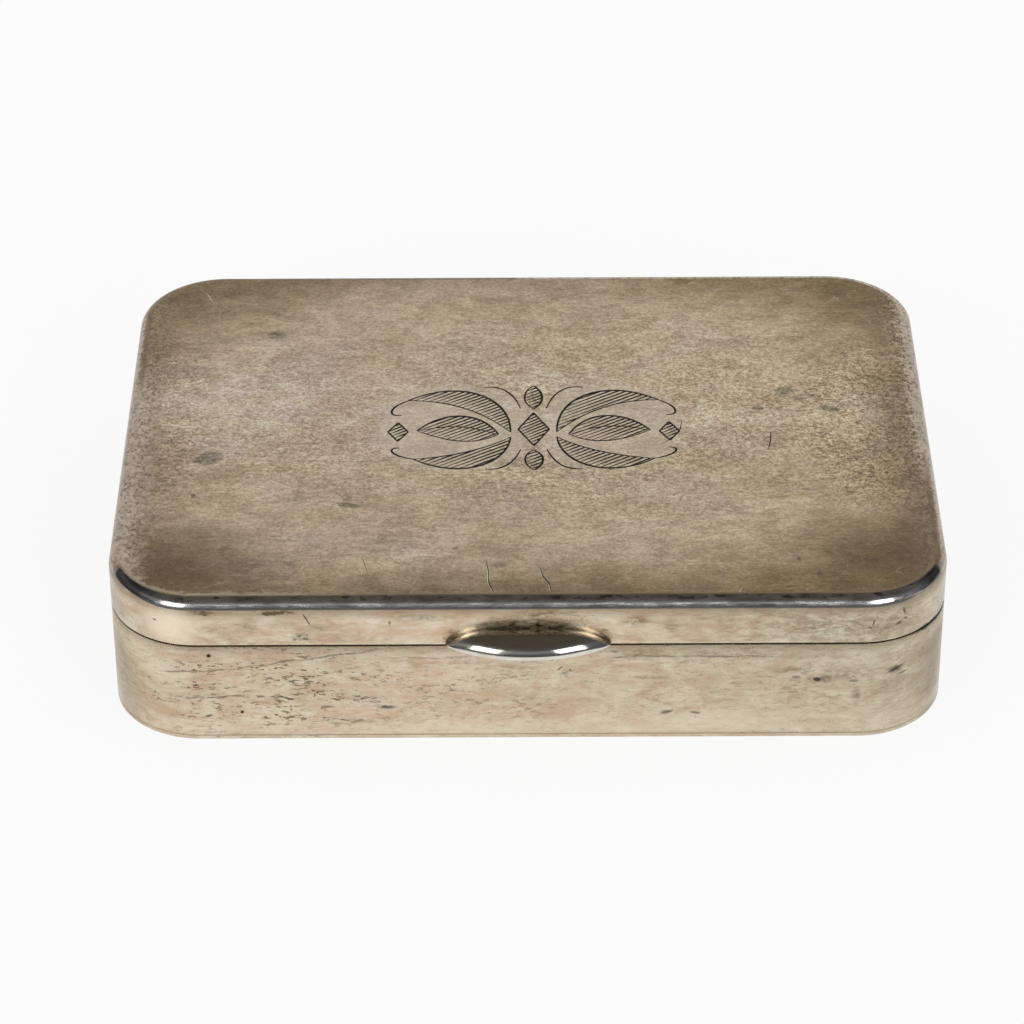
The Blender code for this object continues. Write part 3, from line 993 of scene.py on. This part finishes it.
    ragged_edge = ragged_noise(metal)
    from_side = TOP_HIGH.x - abs(metal.x)
    at_right = right_half(metal)
    side_specks = metal.grain((0.36, 0.5, 0.4), 17.0, 0.78, twist=0.6)
    side_place = (from_side + ragged_edge * (9.0 * MM)).graded(4.4 * MM, 1.6 * MM)
    bare = rubbed_bare(metal, at_right)
    side_tone = metal.blended(at_right, metal.blended(bare, BROWN, ROSE_WEAR), SIDE_BROWN)
    side_share = metal.mixed(at_right, metal.mixed(bare, 0.25, 0.55), metal.mixed(bare, 0.62, 0.08))
    tone = metal.blended(side_place * side_share, tone, side_tone)
    rim = from_side + ragged_edge * metal.mixed(at_right, 3.4 * MM, 4.2 * MM)
    rim = rim + at_right * (0.35 * MM)
    rim_share = rim.graded(1.95 * MM, 1.6 * MM) * metal.mixed(bare, 0.12, metal.mixed(at_right, 0.7, 0.8))
    tone = metal.blended(rim_share, tone, metal.blended(at_right, ROSE_WEAR, RIM_WEAR))
    pale_specks = side_specks.graded(0.5, 0.41) * from_side.graded(4.0 * MM, 1.6 * MM)
    tone = metal.blended(pale_specks * metal.mixed(bare, 0.12, 0.35), tone, WALL_PALE)
    dark_specks = side_specks.graded(0.53, 0.6) * from_side.graded(5.0 * MM, 1.9 * MM)
    tone = metal.blended(dark_specks * 0.72, tone, tint(0.12, 0.085, 0.055))
    sideways, forwards = into_corner(metal)
    reach = (sideways * sideways + forwards * forwards) ** 0.5
    from_rim = CORNER_RADIUS - reach + ragged_edge * (2.0 * MM)
    front_ridge = from_rim.graded(1.62 * MM, 1.35 * MM) * metal.y.graded(-19 * MM, -23 * MM)
    front_ridge = front_ridge * (metal.x + ragged_edge * (24 * MM)).graded(-12 * MM, -34 * MM, 0.06, 0.62)
    tone = metal.blended(front_ridge, tone, BEIGE)

    satin = (blotches * 0.5 + brushed * 0.5).graded(0.35, 0.65, 0.46, 0.36)
    metal.bump(lines, 0.2, 0.005)
    metal.bump(shade, 0.3, 0.008)
    metal.bump(metal.grain((12, 9, 6), 61, 0.4, detail=2), 0.3, 0.06)
    metal.bump(1 - spots, 0.4, 0.015)
    return metal.done(tone, satin)


def lid_edge_finish():
    """The lid's rolled edge: polished in front and rubbed dull at the sides.

    Tarnish creeps over it from above, and the side's silver lies below. Dark reflections are painted on its
    front corners, over its upper part and in a line low on its front.
    """
    metal = Finish("lid_edge_polish", 0.95, 0.12)
    ragged_edge = ragged_noise(metal)
    sideways, forwards = into_corner(metal)
    corner_turn = metal.math("ARCTAN2", sideways, forwards)
    turned = corner_turn + ragged_edge * 0.35
    at_side = metal.higher(turned.graded(radians(64), radians(74)), metal.y.graded(0, 10 * MM))
    at_right = right_half(metal)

    dulled = metal.grain((2.4, 2.4, 0.5), 41).graded(0.35, 0.75)
    tone = metal.blended(dulled, BRIGHT, DULL)
    # Painted dark reflection on the front corners of the rolled edge
    left_corner = turned.graded(radians(22), radians(40))
    right_corner = turned.graded(radians(34), radians(54))
    tone = metal.blended(metal.mixed(at_right, left_corner, right_corner) * 0.86, tone, PAINTED_DARK_REFLECTION)
    jags = metal.grain((1.6, 1.6, 0.3), 47.0).graded(0.54, 0.62) * by_depth(metal.z, 0.42, 0.05)
    tone = metal.blended(jags * 0.85, tone, NEAR_BLACK)
    # Painted dark reflection over the upper part of the rolled edge
    tone = metal.blended(by_depth(metal.z, 0.5, 0.1) * 0.32, tone, PAINTED_DARK_REFLECTION)
    rubbed = metal.blended(at_right, ROSE_WEAR, RIM_WEAR)
    rubbed = metal.blended(by_depth(metal.z, 0.75, 0.3), RUBBED_SILVER, rubbed)
    height = metal.z + ragged_edge * (0.13 * MM)
    browned = by_depth(height + ragged_edge * (0.3 * MM), 0.26, 0.08)
    rubbed = metal.blended(metal.less(browned, rubbed_bare(metal, at_right)), rubbed, RIM_BROWN)
    specks = metal.grain((0.36, 0.5, 0.4), 17.0, 0.78, twist=0.6).graded(0.51, 0.58)
    specks = specks * by_depth(metal.z, 0.7, 0.25)
    rubbed = metal.blended(specks * 0.7, rubbed, tint(0.13, 0.095, 0.065))
    tone = metal.blended(at_side, tone, rubbed)
    crept = metal.less(by_depth(height, 0.07, 0.02), at_side)
    left = (metal.x + ragged_edge * (22 * MM)).graded(-10 * MM, -26 * MM)
    tone = metal.blended(crept, tone, metal.blended(left, tint(0.26, 0.195, 0.115), tint(0.42, 0.34, 0.23)))
    # A painted dark reflection in a line low on the rolled edge, but not at the sides
    line_below = metal.less(by_depth(height, 0.72, 0.84) * 0.9, at_side)
    tone = metal.blended(line_below, tone, PAINTED_DARK_REFLECTION)
    lowered = metal.higher(corner_turn.graded(radians(20), radians(50)), at_side)
    lowered = lowered * metal.mixed(at_right, 0.38 * MM, 0.3 * MM)
    below = by_depth(height - lowered, 0.98, 1.1)
    side_silver, side_rough = wall_silver(metal, LID_WEAR_AND_SHADE)[:2]
    tone = metal.blended(below, tone, side_silver)

    polish = metal.grain((1.5, 1.5, 0.4), 53).graded(0.35, 0.7, 0.08, 0.18)
    rough = polish + metal.higher(metal.higher(at_side, crept), line_below) * 0.3
    handled = by_depth(metal.z, 0.84, 0.68) * by_depth(metal.z, 0.34, 0.54)
    handled = handled * metal.grain((1.6, 1.6, 0.12), 57.0, 0.7).graded(0.42, 0.6)
    rough = rough + handled * 0.16
    metal.bump(metal.grain((3, 3, 3), 61, 0.5, detail=2), 0.25, 0.012)
    return metal.done(tone, metal.mixed(below, rough, side_rough))


def wall_silver(metal, wear):
    """Warm worn silver of the sides, with pits in rows, stains, a few tarnish lines, and painted shade and
    highlights.

    Gives its colour, roughness, dark dots, pits and grain.
    """
    shift = wear["shift"]
    ragged = metal.warped(0.9, 0.7)
    clouds = metal.grain((15, 15, 7), shift, 0.55)
    blotches = metal.grain((4.2, 4.2, 2.0), shift + 2.2, 0.58, twist=0.7)
    fine = metal.grain((1.2, 1.2, 0.36), shift + 4.1, twist=0.35)
    tone = metal.blended(clouds.graded(0.42, 0.66), WALL_WARM, WALL_ROSE)
    tone = metal.blended(metal.x.graded(4 * MM, 38 * MM) * 0.8, tone, WALL_GREY)
    greyed = metal.grain((7, 7, 3), shift + 8.8).graded(0.5, 0.72)
    tone = metal.blended(greyed * 0.55, tone, WALL_GREY)
    shade = (blotches * 0.66 + fine * 0.34).graded(0.34, 0.68)
    tone = metal.dappled(wear["uneven"], tone, shade, tint(0.34, 0.33, 0.3), tint(0.64, 0.65, 0.67))
    # Painted shade with grime: each wall darkens towards its top, under the seam or the rolled edge above it
    low, high = wear["shade_and_grime"]
    shade_and_grime = (metal.z + (blotches - 0.5) * (0.8 * MM)).graded(low * MM, high * MM)
    tone = metal.blended(shade_and_grime * wear["shade_and_grime_share"], tone, SMEAR_AND_SHADE)

    where = metal.marks(ragged, wear["pitted"])
    rows = metal.grain((7, 7, 1.1), shift + 17, 0.55).graded(0.4, 0.58)
    pits = metal.grain((0.95, 0.95, 0.3), shift + 13, 0.72, twist=0.3).graded(0.535, 0.6) * rows
    tone = metal.blended(pits * where * 0.9, tone, PIT_BROWN)
    faint_pits = metal.grain((0.8, 0.8, 0.42), shift + 23, 0.72, twist=0.4).graded(0.57, 0.69)
    tone = metal.blended(faint_pits * wear["faint"], tone, PIT_BROWN)
    broken = metal.grain((1.1, 1.1, 0.5), shift + 41, 0.72, detail=4, twist=0.5).graded(0.42, 0.58, 0.25, 1.4)
    for colour, patches in wear["stains"].items():
        stained = metal.math("MULTIPLY", metal.marks(ragged, patches), broken, clamp=True)
        tone = metal.blended(stained, tone, colour)
    # The shades are tone patches laid on whole; some of them are painted shade and painted highlights
    for colour, patches in wear["shades"].items():
        tone = metal.blended(metal.marks(ragged, patches), tone, colour)
    front = metal.y.graded((FRONT_Y + 4) * MM, (FRONT_Y + 2) * MM)
    drawn = []
    for start, end, height, slope, swing, strength in wear["lines"]:
        wave = (metal.grain((4, 4, 4), shift + start) - 0.5) * (swing * MM)
        path = metal.x * slope + wave + height * MM
        span = metal.x.graded(start * MM, (start + 1.5) * MM) * metal.x.graded(end * MM, (end - 2) * MM)
        gaps = metal.grain((0.9, 0.9, 0.9), shift + end, detail=2).graded(0.4, 0.56, 0.4, 1.0)
        on_path = abs(metal.z - path).graded(0.15 * MM, 0.04 * MM)
        drawn.append(on_path * span * gaps * front * strength)
    tone = metal.blended(reduce(metal.higher, drawn), tone, LINE_DARK)
    if wear["foot"]:
        off_foot = abs(metal.z - wear["foot"] * MM)
        tone = metal.blended(off_foot.graded(0.13 * MM, 0.03 * MM) * 0.42, tone, SMEAR_AND_SHADE)
    dots = metal.marks(metal.warped(0.5, 0.25), wear["spots"])
    tone = metal.blended(dots, tone, NEAR_BLACK)
    rough = (blotches * 0.5 + pits * 0.5).graded(0.2, 0.7, 0.24, 0.4)
    return tone, rough, dots, pits, fine


def wall_finish(name, wear):
    metal = Finish(name, 0.95, 0.3)
    tone, rough, dots, pits, fine = wall_silver(metal, wear)
    metal.bump(fine, 0.25, 0.004)
    metal.bump(metal.grain((9, 9, 5), wear["shift"] + 31, 0.4, detail=2), 0.25, 0.05)
    metal.bump(1 - metal.higher(dots, pits * 0.5), 0.5, 0.02)
    return metal.done(tone, rough)


# Where the walls are worn and stained, and where shade and highlights are painted on them, in millimetres; a
# line has its start, end, height, slope, swing and strength
TRAY_WEAR_AND_SHADE = {
    "shift": 3.7,
    "shade_and_grime": (9.9, 11.3),
    "shade_and_grime_share": 0.5,
    "uneven": 0.66,
    "faint": 0.34,
    "foot": 0.55,
    "pitted": [
        on_front(-25, 5.5, 19, 7.5),
        on_front(-5, 5, 15, 6, 0.6, 0.9),
        on_front(28, 6, 10, 4, 0.5, 0.9),
        on_front(12, 4, 13, 4, 0.3, 0.9),
        around((0, -FRONT_Y, 5), (45, 30, 14), 0.5),
    ],
    "spots": [
        on_front(-30.2, 10.0, 0.26, 0.26),
        on_front(-27.3, 3.3, 0.26, 0.24, 0.95),
        on_front(-37.6, 3.4, 0.24, 0.2, 0.9),
        on_front(-35.6, 5.0, 0.16, 0.16, 0.8),
        on_front(-13.4, 3.8, 1.2, 0.32, 0.7, 0.8, 2),
        on_front(-13.7, 3.9, 0.5, 0.16, 0.9, 0.7),
        on_front(27.4, 6.9, 0.5, 0.34, 0.9, 0.6),
        on_front(25.4, 7.2, 0.6, 0.18, 0.6, 0.7, 10),
        on_front(34.9, 7.6, 1.3, 0.32, 0.8, 0.7, 20),
        on_front(35.6, 6.9, 0.9, 0.2, 0.6, 0.7, 10),
        on_front(13.2, 3.1, 0.9, 0.3, 0.7, 0.7, 20),
        on_front(15.9, 3.0, 0.7, 0.22, 0.65, 0.7, -10),
        on_front(3.0, 8.3, 0.5, 0.12, 0.7, 0.6, 40),
        on_front(4.0, 8.1, 0.3, 0.12, 0.6, 0.6, -50),
        on_front(-22.9, 4.9, 0.8, 0.14, 0.75, 0.5, -18),
        on_front(3.5, 7.8, 0.7, 0.3, 0.4, 0.9, 15),
        on_front(30.9, 6.7, 0.7, 0.22, 0.5, 0.7, 5),
        on_front(8.2, 10.3, 0.5, 0.22, 0.45, 0.7),
    ],
    "lines": [
        (-35.6, -13.5, 12.5, 0.14, 1.5, 0.72),
        (-34.6, -27.0, 6.6, 0.05, 1.4, 0.6),
        (-14.0, -4.0, 9.9, 0.03, 1.0, 0.4),
        (7.0, 25.0, 9.6, 0.004, 0.7, 0.62),
    ],
    "stains": {
        SMEAR_AND_SHADE: [
            on_front(30, 7.5, 8, 1.6, 0.3, 0.95, 6),
            on_front(36.5, 6.5, 6, 6.5, 0.32, 0.95),
            on_front(35.0, 7.6, 2.2, 0.9, 0.6, 0.8, 8),
            on_front(31.2, 5.0, 0.7, 1.7, 0.45, 0.9),
            on_front(24.5, 8.0, 2.2, 0.5, 0.4, 0.9, 10),
            on_front(11.5, 7.2, 2.6, 0.4, 0.35, 0.9),
            on_front(19.8, 6.6, 1.2, 0.35, 0.4, 0.9),
            on_front(2, 10.4, 9, 1.0, 0.3, 0.9),
            on_front(-16, 2.2, 7, 0.7, 0.28, 0.9),
            on_front(27.6, 7.0, 3.4, 0.8, 0.6, 0.85),
            on_front(20, 9.9, 13, 0.8, 0.25, 0.9),
            on_front(10.5, 10.0, 3.5, 1.0, 0.35, 0.9),
        ],
    },
    "shades": {
        SMEAR_AND_SHADE: [
            # Painted shade where the wall turns round the upright front corners
            around((39.4, FRONT_Y + 5.5, 5.5), (5.2, 8, 8.5), 0.62, 0.8),
            around((-39.6, FRONT_Y + 5.5, 5.0), (4.8, 8, 8.5), 0.5, 0.8),
        ],
        WALL_PALE: [
            # A painted highlight along the foot of the wall, all round
            around((0, FRONT_Y, 1.3), (60, 90, 1.7), 0.4, 0.9),
            on_front(18, 2.2, 16, 1.8, 0.5, 0.95),
            on_front(-34.5, 7.5, 3.0, 4.5, 0.5, 0.9),
        ],
        NEAR_BLACK: [
            # Painted shadow in the seam's gap at the right front corner
            around((38.9, FRONT_Y + 4.6, 10.98), (4.0, 6.5, 0.24), 0.85),
        ],
    },
}
LID_WEAR_AND_SHADE = {
    "shift": 8.9,
    "shade_and_grime": (13.9, 15.3),
    "shade_and_grime_share": 0.55,
    "uneven": 0.85,
    "faint": 0.12,
    "foot": None,
    "pitted": [
        on_front(-24, 13.5, 14, 4, 0.25, 0.9),
        on_front(26, 13.2, 12, 4, 0.35, 0.9),
        around((0, -FRONT_Y, 12), (45, 30, 14), 0.4),
    ],
    "spots": [
        on_front(-21.6, 12.2, 0.3, 0.2, 0.7, 0.7, 20),
        on_front(-21.0, 11.85, 0.45, 0.22, 0.55, 0.8, -10),
        on_front(-22.0, 11.8, 0.2, 0.16, 0.6, 0.7),
        on_front(-20.8, 12.35, 0.18, 0.14, 0.5, 0.7),
        on_front(-20.85, 14.2, 0.95, 0.1, 0.95, 0.6, -62),
        on_front(-35.2, 13.6, 0.3, 0.14, 0.7, 0.6),
        on_front(-13.0, 13.7, 0.16, 0.4, 0.6, 0.7),
        on_front(35.4, 14.2, 0.22, 0.62, 0.75, 0.7, 8),
        on_front(34.9, 12.9, 0.5, 0.22, 0.7, 0.7, 25),
        on_front(35.6, 13.3, 0.3, 0.2, 0.7, 0.7, -30),
        on_front(36.9, 14.2, 0.6, 0.2, 0.65, 0.8),
        on_front(38.2, 14.6, 0.4, 0.28, 0.7, 0.7),
        on_front(32.5, 13.4, 0.14, 0.62, 0.75, 0.7, -12),
        on_front(32.2, 12.85, 0.35, 0.12, 0.6, 0.7, -40),
        on_front(27.0, 12.9, 0.5, 0.1, 0.45, 0.6),
        on_front(-1.6, 13.35, 0.42, 0.24, 0.8, 0.7, 25),
        on_front(0.9, 13.35, 0.5, 0.26, 0.75, 0.7, -15),
        on_front(2.9, 13.2, 0.5, 0.16, 0.6, 0.7),
    ],
    "lines": [
        (24.0, 33.0, 13.2, 0.02, 0.8, 0.3),
    ],
    "stains": {
        SMEAR_AND_SHADE: [
            on_front(-21.4, 12.1, 1.1, 0.6, 0.35, 0.6),
            on_front(-26.6, 13.3, 1.8, 0.9, 0.3, 0.95),
            on_front(-19.6, 13.2, 1.5, 0.7, 0.3, 0.95),
            on_front(-10.5, 14.3, 4.5, 0.8, 0.38, 0.95),
            on_front(-12.2, 14.8, 1.6, 0.25, 0.5, 0.8),
            on_front(10.2, 13.9, 2.3, 1.1, 0.55, 0.9),
            on_front(13.4, 13.3, 1.2, 1.1, 0.5, 0.9),
            on_front(35.6, 13.7, 1.6, 1.2, 0.35, 0.95),
            on_front(17.5, 13.9, 3.2, 0.9, 0.32, 0.95),
            on_front(25.5, 13.4, 4, 0.7, 0.45, 0.9),
            on_front(21.0, 13.0, 1.6, 0.5, 0.4, 0.9),
            on_front(32, 13, 22, 4.5, 0.42, 0.95),
            on_front(-39.5, 13, 3, 2.5, 0.3, 0.95),
        ],
        OLIVE: [
            on_front(0.2, 13.2, 7.2, 1.9, 0.85, 0.95),
            on_front(1.4, 14.75, 3.8, 0.9, 0.7, 0.9),
            on_front(4.5, 13.9, 4.5, 0.9, 0.35, 0.95, -6),
            on_front(-7.1, 12.0, 1.2, 1.1, 0.55, 0.3),
            on_front(7.0, 12.0, 1.1, 1.1, 0.55, 0.3),
        ],
        BROWN: [
            # The first patch is painted shade where the thumb lift meets the wall, over a stain
            on_front(0, 12.8, 6.8, 0.9, 0.6, 0.95),
            on_front(-30.8, 14.9, 1.9, 0.4, 0.75, 0.6),
            on_front(-23.7, 14.88, 2.2, 0.34, 0.9, 0.6),
        ],
    },
    "shades": {
        WALL_WARM: [
            on_front(-0.2, 13.7, 1.0, 0.7, 0.85),
        ],
        WALL_PALE: [
            # A painted highlight with wear along the lid's lower edge
            around((0, FRONT_Y, 11.12), (60, 90, 0.36), 0.6, 0.9),
        ],
        WALL_BRIGHT: [
            on_front(-34.2, 13.2, 4.6, 3.0, 0.8, 0.8),
        ],
        SMEAR_AND_SHADE: [
            # Painted shade where the wall turns round the upright front corners
            around((-40.2, FRONT_Y + 6.5, 13), (3.6, 8, 4), 0.4, 0.8),
            around((40.2, FRONT_Y + 6.5, 13), (3.2, 8, 4), 0.3, 0.8),
        ],
        NEAR_BLACK: [
            # Painted shadow in the seam's gap at the right front corner
            around((38.9, FRONT_Y + 4.6, 11.2), (4.0, 6.5, 0.24), 0.85),
        ],
    },
}


def polished_finish():
    """Bright handled silver with a soft bloom and hair-fine wear."""
    metal = Finish("thumb_lift_polish", 1.0, 0.1)
    bloom = metal.grain((2.6, 1.6, 1.4), 2.0)
    fine = metal.grain((1.4, 0.14, 0.14), 5.0)
    tone = metal.blended(bloom.graded(0.4, 0.75), tint(0.72, 0.7, 0.63), tint(0.62, 0.585, 0.51))
    # Painted shade with grime along the back of the lift, where it meets the wall
    shade_and_grime = (metal.y + (bloom - 0.5) * (0.5 * MM)).graded((FRONT_Y - 0.45) * MM, (FRONT_Y - 0.1) * MM)
    tone = metal.blended(shade_and_grime * 0.6, tone, tint(0.14, 0.115, 0.085))
    rough = (bloom * 0.5 + fine * 0.5).graded(0.35, 0.65, 0.09, 0.18)
    metal.bump(fine, 0.15, 0.002)
    metal.bump(bloom, 0.1, 0.01)
    return metal.done(tone, rough)


def gilt_finish():
    """A thin gilt wash inside the box, rubbed through to silver in places."""
    metal = Finish("inside_gilt", 1.0, 0.35)
    rubbed = metal.grain((11, 9, 6), 4.0, 0.65, detail=4, twist=0.4)
    fine = metal.grain((2.5, 0.22, 2.0), 6.0)
    stain = metal.grain((3.5, 3.0, 3.0), 8.0, 0.65, detail=4)
    tone = metal.blended(rubbed.graded(0.5, 0.72), GILT, GILT_WORN)
    tone = metal.blended(stain.graded(0.58, 0.75) * 0.5, tone, tint(0.3, 0.2, 0.1))
    tone = metal.blended(fine.graded(0.45, 0.7) * 0.25, tone, tint(0.45, 0.32, 0.15))
    rough = rubbed.graded(0.3, 0.7, 0.28, 0.44)
    metal.bump(fine, 0.25, 0.004)
    metal.bump(rubbed, 0.2, 0.03)
    return metal.done(tone, rough)


def hinge_finish():
    """Drawn tube and wire: satin silver, dark in the joints between the lengths."""
    metal = Finish("hinge_silver", 0.95, 0.3)
    drawn = metal.grain((3.0, 0.12, 0.12), 2.0)
    patches = metal.grain((2.8, 1.2, 1.2), 5.0, 0.62, detail=4)
    tone = metal.blended(patches.graded(0.42, 0.7), WALL_WARM, OLIVE)
    tone = metal.blended(drawn.graded(0.5, 0.72) * 0.35, tone, BROWN)
    rough = patches.graded(0.3, 0.7, 0.22, 0.42)
    metal.bump(drawn, 0.25, 0.003)
    return metal.done(tone, rough)


def underside_finish():
    """The plate's underside and foot: worn silver with rubbing marks from standing on tables."""
    metal = Finish("foot_silver", 0.95, 0.34)
    clouds = metal.grain((14, 12, 8), 6.0, detail=4)
    rubs = metal.hairlines((6, 1.4, 4), 0.02, 9.0, (4, 3, 4), 0.46)
    speckle = metal.grain((0.8, 0.6, 0.6), 3.0, 0.65)
    tone = metal.blended(clouds.graded(0.42, 0.7), WALL_WARM, OLIVE)
    tone = metal.blended(rubs * 0.4, tone, PALE)
    tone = metal.blended(speckle.graded(0.58, 0.7) * 0.4, tone, BROWN)
    rough = clouds.graded(0.3, 0.7, 0.28, 0.45)
    metal.bump(speckle, 0.25, 0.006)
    metal.bump(rubs, 0.3, 0.004)
    return metal.done(tone, rough)


def groove_finish():
    """Old tarnish and polish left in the graver's cuts."""
    metal = Finish("engraved_dark", 0.35, 0.55)
    worn = metal.grain((0.9, 0.6, 0.3), 2.0)
    tone = metal.blended(worn.graded(0.4, 0.75), tint(0.022, 0.017, 0.013), tint(0.1, 0.075, 0.05))
    return metal.done(tone)


def scratch_flank_highlight_finish():
    """A painted highlight on the right-facing flank of a scratch, which is cut to clean metal."""
    metal = Finish("scratch_flank_painted_highlight", 0.0, 0.6)
    worn = metal.grain((0.9, 0.9, 0.3), 4.0)
    return metal.done(metal.blended(worn.graded(0.35, 0.65), tint(0.92, 0.85, 0.72), tint(0.7, 0.6, 0.46)))


# Studio


def make_camera():
    data = bpy.data.cameras.new("table_view")
    data.lens = LENS
    data.sensor_width = 36
    data.clip_start = 0.01
    data.clip_end = 20
    camera = bpy.data.objects.new("table_view", data)
    bpy.context.scene.collection.objects.link(camera)
    roll = Matrix.Rotation(CAMERA_ROLL, 3, "Z")
    tilt = Matrix.Rotation(CAMERA_TILT - pi / 2, 3, "X")
    turn = Matrix.Rotation(CAMERA_TURN, 3, "Z")
    camera.matrix_world = Matrix.Translation(CAMERA_PLACE) @ (roll @ tilt @ turn).transposed().to_4x4()
    bpy.context.scene.camera = camera


def bare_nodes(holder):
    """An empty node tree for a material or a world."""
    holder.use_nodes = True
    holder.node_tree.nodes.clear()
    return Nodes(holder.node_tree)


def make_table():
    """A wide white sweep under the box that keeps its shadow.

    In reflections its far front lies in the dark of the room.
    """
    begin()
    bpy.ops.mesh.primitive_circle_add(vertices=96, radius=4, fill_type="NGON", location=(0, 0, -0.02 * MM))
    table = settled("table")
    paper = bpy.data.materials.new("white_paper")
    nodes = bare_nodes(paper)
    y = nodes.axes(nodes.value("ShaderNodeTexCoord", output="Object"))[1]
    dark_front = y.graded(-0.095, -0.135) * nodes.rays("Glossy")
    colour = nodes.blended(dark_front, WHITE, ROOM_FRONT)
    glow = nodes.value("ShaderNodeEmission", {"Color": colour, "Strength": 1})
    matt = nodes.value("ShaderNodeBsdfDiffuse", {"Color": TABLE_PAPER})
    share = nodes.rays("Camera", "Glossy", "Transmission") * TABLE_GLOW_SHARE
    surface = nodes.value("ShaderNodeMixShader", {0: share, 1: matt, 2: glow})
    nodes.add("ShaderNodeOutputMaterial", {0: surface})
    table.data.materials.append(paper)


def make_room():
    """White behind and low at the sides, a dark room overhead and in front, as the polished edge shows it."""
    world = bpy.data.worlds.new("studio")
    bpy.context.scene.world = world
    nodes = bare_nodes(world)
    x, y, z = nodes.axes(nodes.value("ShaderNodeTexCoord", output="Generated"))
    backward = y * 0.788 + z * -0.616
    lit = (backward + abs(x) * -0.40).graded(-0.09, 0.06)
    glow = z.graded(0.24, 0.51) * z.graded(0.76, 0.52) * x.graded(1.3, -0.5)
    room = nodes.blended(z.graded(0.60, 0.95), ROOM_FRONT, ROOM_OVERHEAD)
    room = nodes.blended(glow, room, ROOM_GLOW)
    room = nodes.blended(lit, room, WHITE)

    reflected = nodes.value("ShaderNodeBackground", {"Color": room})
    ambient = nodes.value("ShaderNodeBackground", {"Color": WHITE, "Strength": ROOM_LIGHT})
    backdrop = nodes.value("ShaderNodeBackground", {"Color": WHITE})
    around_box = nodes.value("ShaderNodeMixShader", {0: nodes.rays("Glossy"), 1: ambient, 2: reflected})
    seen = nodes.rays("Camera", "Transmission")
    surface = nodes.value("ShaderNodeMixShader", {0: seen, 1: around_box, 2: backdrop})
    nodes.add("ShaderNodeOutputWorld", {0: surface})


def make_softboxes():
    for name, turn in (("softbox_left", -SOFTBOX_AZIMUTH), ("softbox_right", SOFTBOX_AZIMUTH)):
        aim = Vector((sin(turn) * cos(SOFTBOX_RISE), -cos(turn) * cos(SOFTBOX_RISE), sin(SOFTBOX_RISE)))
        data = bpy.data.lights.new(name, "AREA")
        data.shape = "RECTANGLE"
        data.size, data.size_y = SOFTBOX_SIZE
        data.energy = SOFTBOX_POWER
        lamp = bpy.data.objects.new(name, data)
        bpy.context.scene.collection.objects.link(lamp)
        lamp.location = aim * SOFTBOX_DISTANCE + Vector((0, 0, 0.015))
        lamp.rotation_euler = aim.to_track_quat("Z", "Y").to_euler()


# Assembly


def stand_for(piece, node):
    """Puts a finished piece in the place of a solid, on the solid's body."""
    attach(piece, "lid" if node.startswith(("lid", "thumb")) else "base")
    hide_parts(node)


def assemble():
    gilt, hinge, foot = gilt_finish(), hinge_finish(), underside_finish()
    tray_side = wall_finish("tray_side_silver", TRAY_WEAR_AND_SHADE)
    lid_side = wall_finish("lid_side_silver", LID_WEAR_AND_SHADE)
    lid_finishes = [lid_patina(), gilt, groove_finish(), lid_edge_finish(), scratch_flank_highlight_finish()]

    stand_for(make_tray_floor(tray_side, gilt, foot), "base_plate")
    stand_for(make_tray_side(tray_side, gilt), "base_wall")
    stand_for(make_guide_rim(gilt), "base_inner_rim")
    for name, node in (("tray_bearer", "base_hinge_bearer"), ("lid_bearer", "lid_hinge_bearer")):
        stand_for(make_bearer(name, node, gilt, hinge), node)
    stand_for(make_lid_side(lid_side, gilt), "lid_wall")
    stand_for(make_lid_sheet(lid_finishes), "lid_top")
    for knuckle, node in make_knuckles(hinge):
        stand_for(knuckle, node)
    stand_for(make_pin(hinge), "hinge_pin")
    for side in ("left", "right"):
        node = "hinge_end_cap_" + side
        stand_for(make_cap("hinge_plug_" + side, node, hinge), node)
    stand_for(make_thumb_lift(polished_finish()), "thumb_piece")


make_camera()
make_table()
make_room()
make_softboxes()
assemble()
begin()
bpy.context.scene.view_settings.view_transform = "Standard"
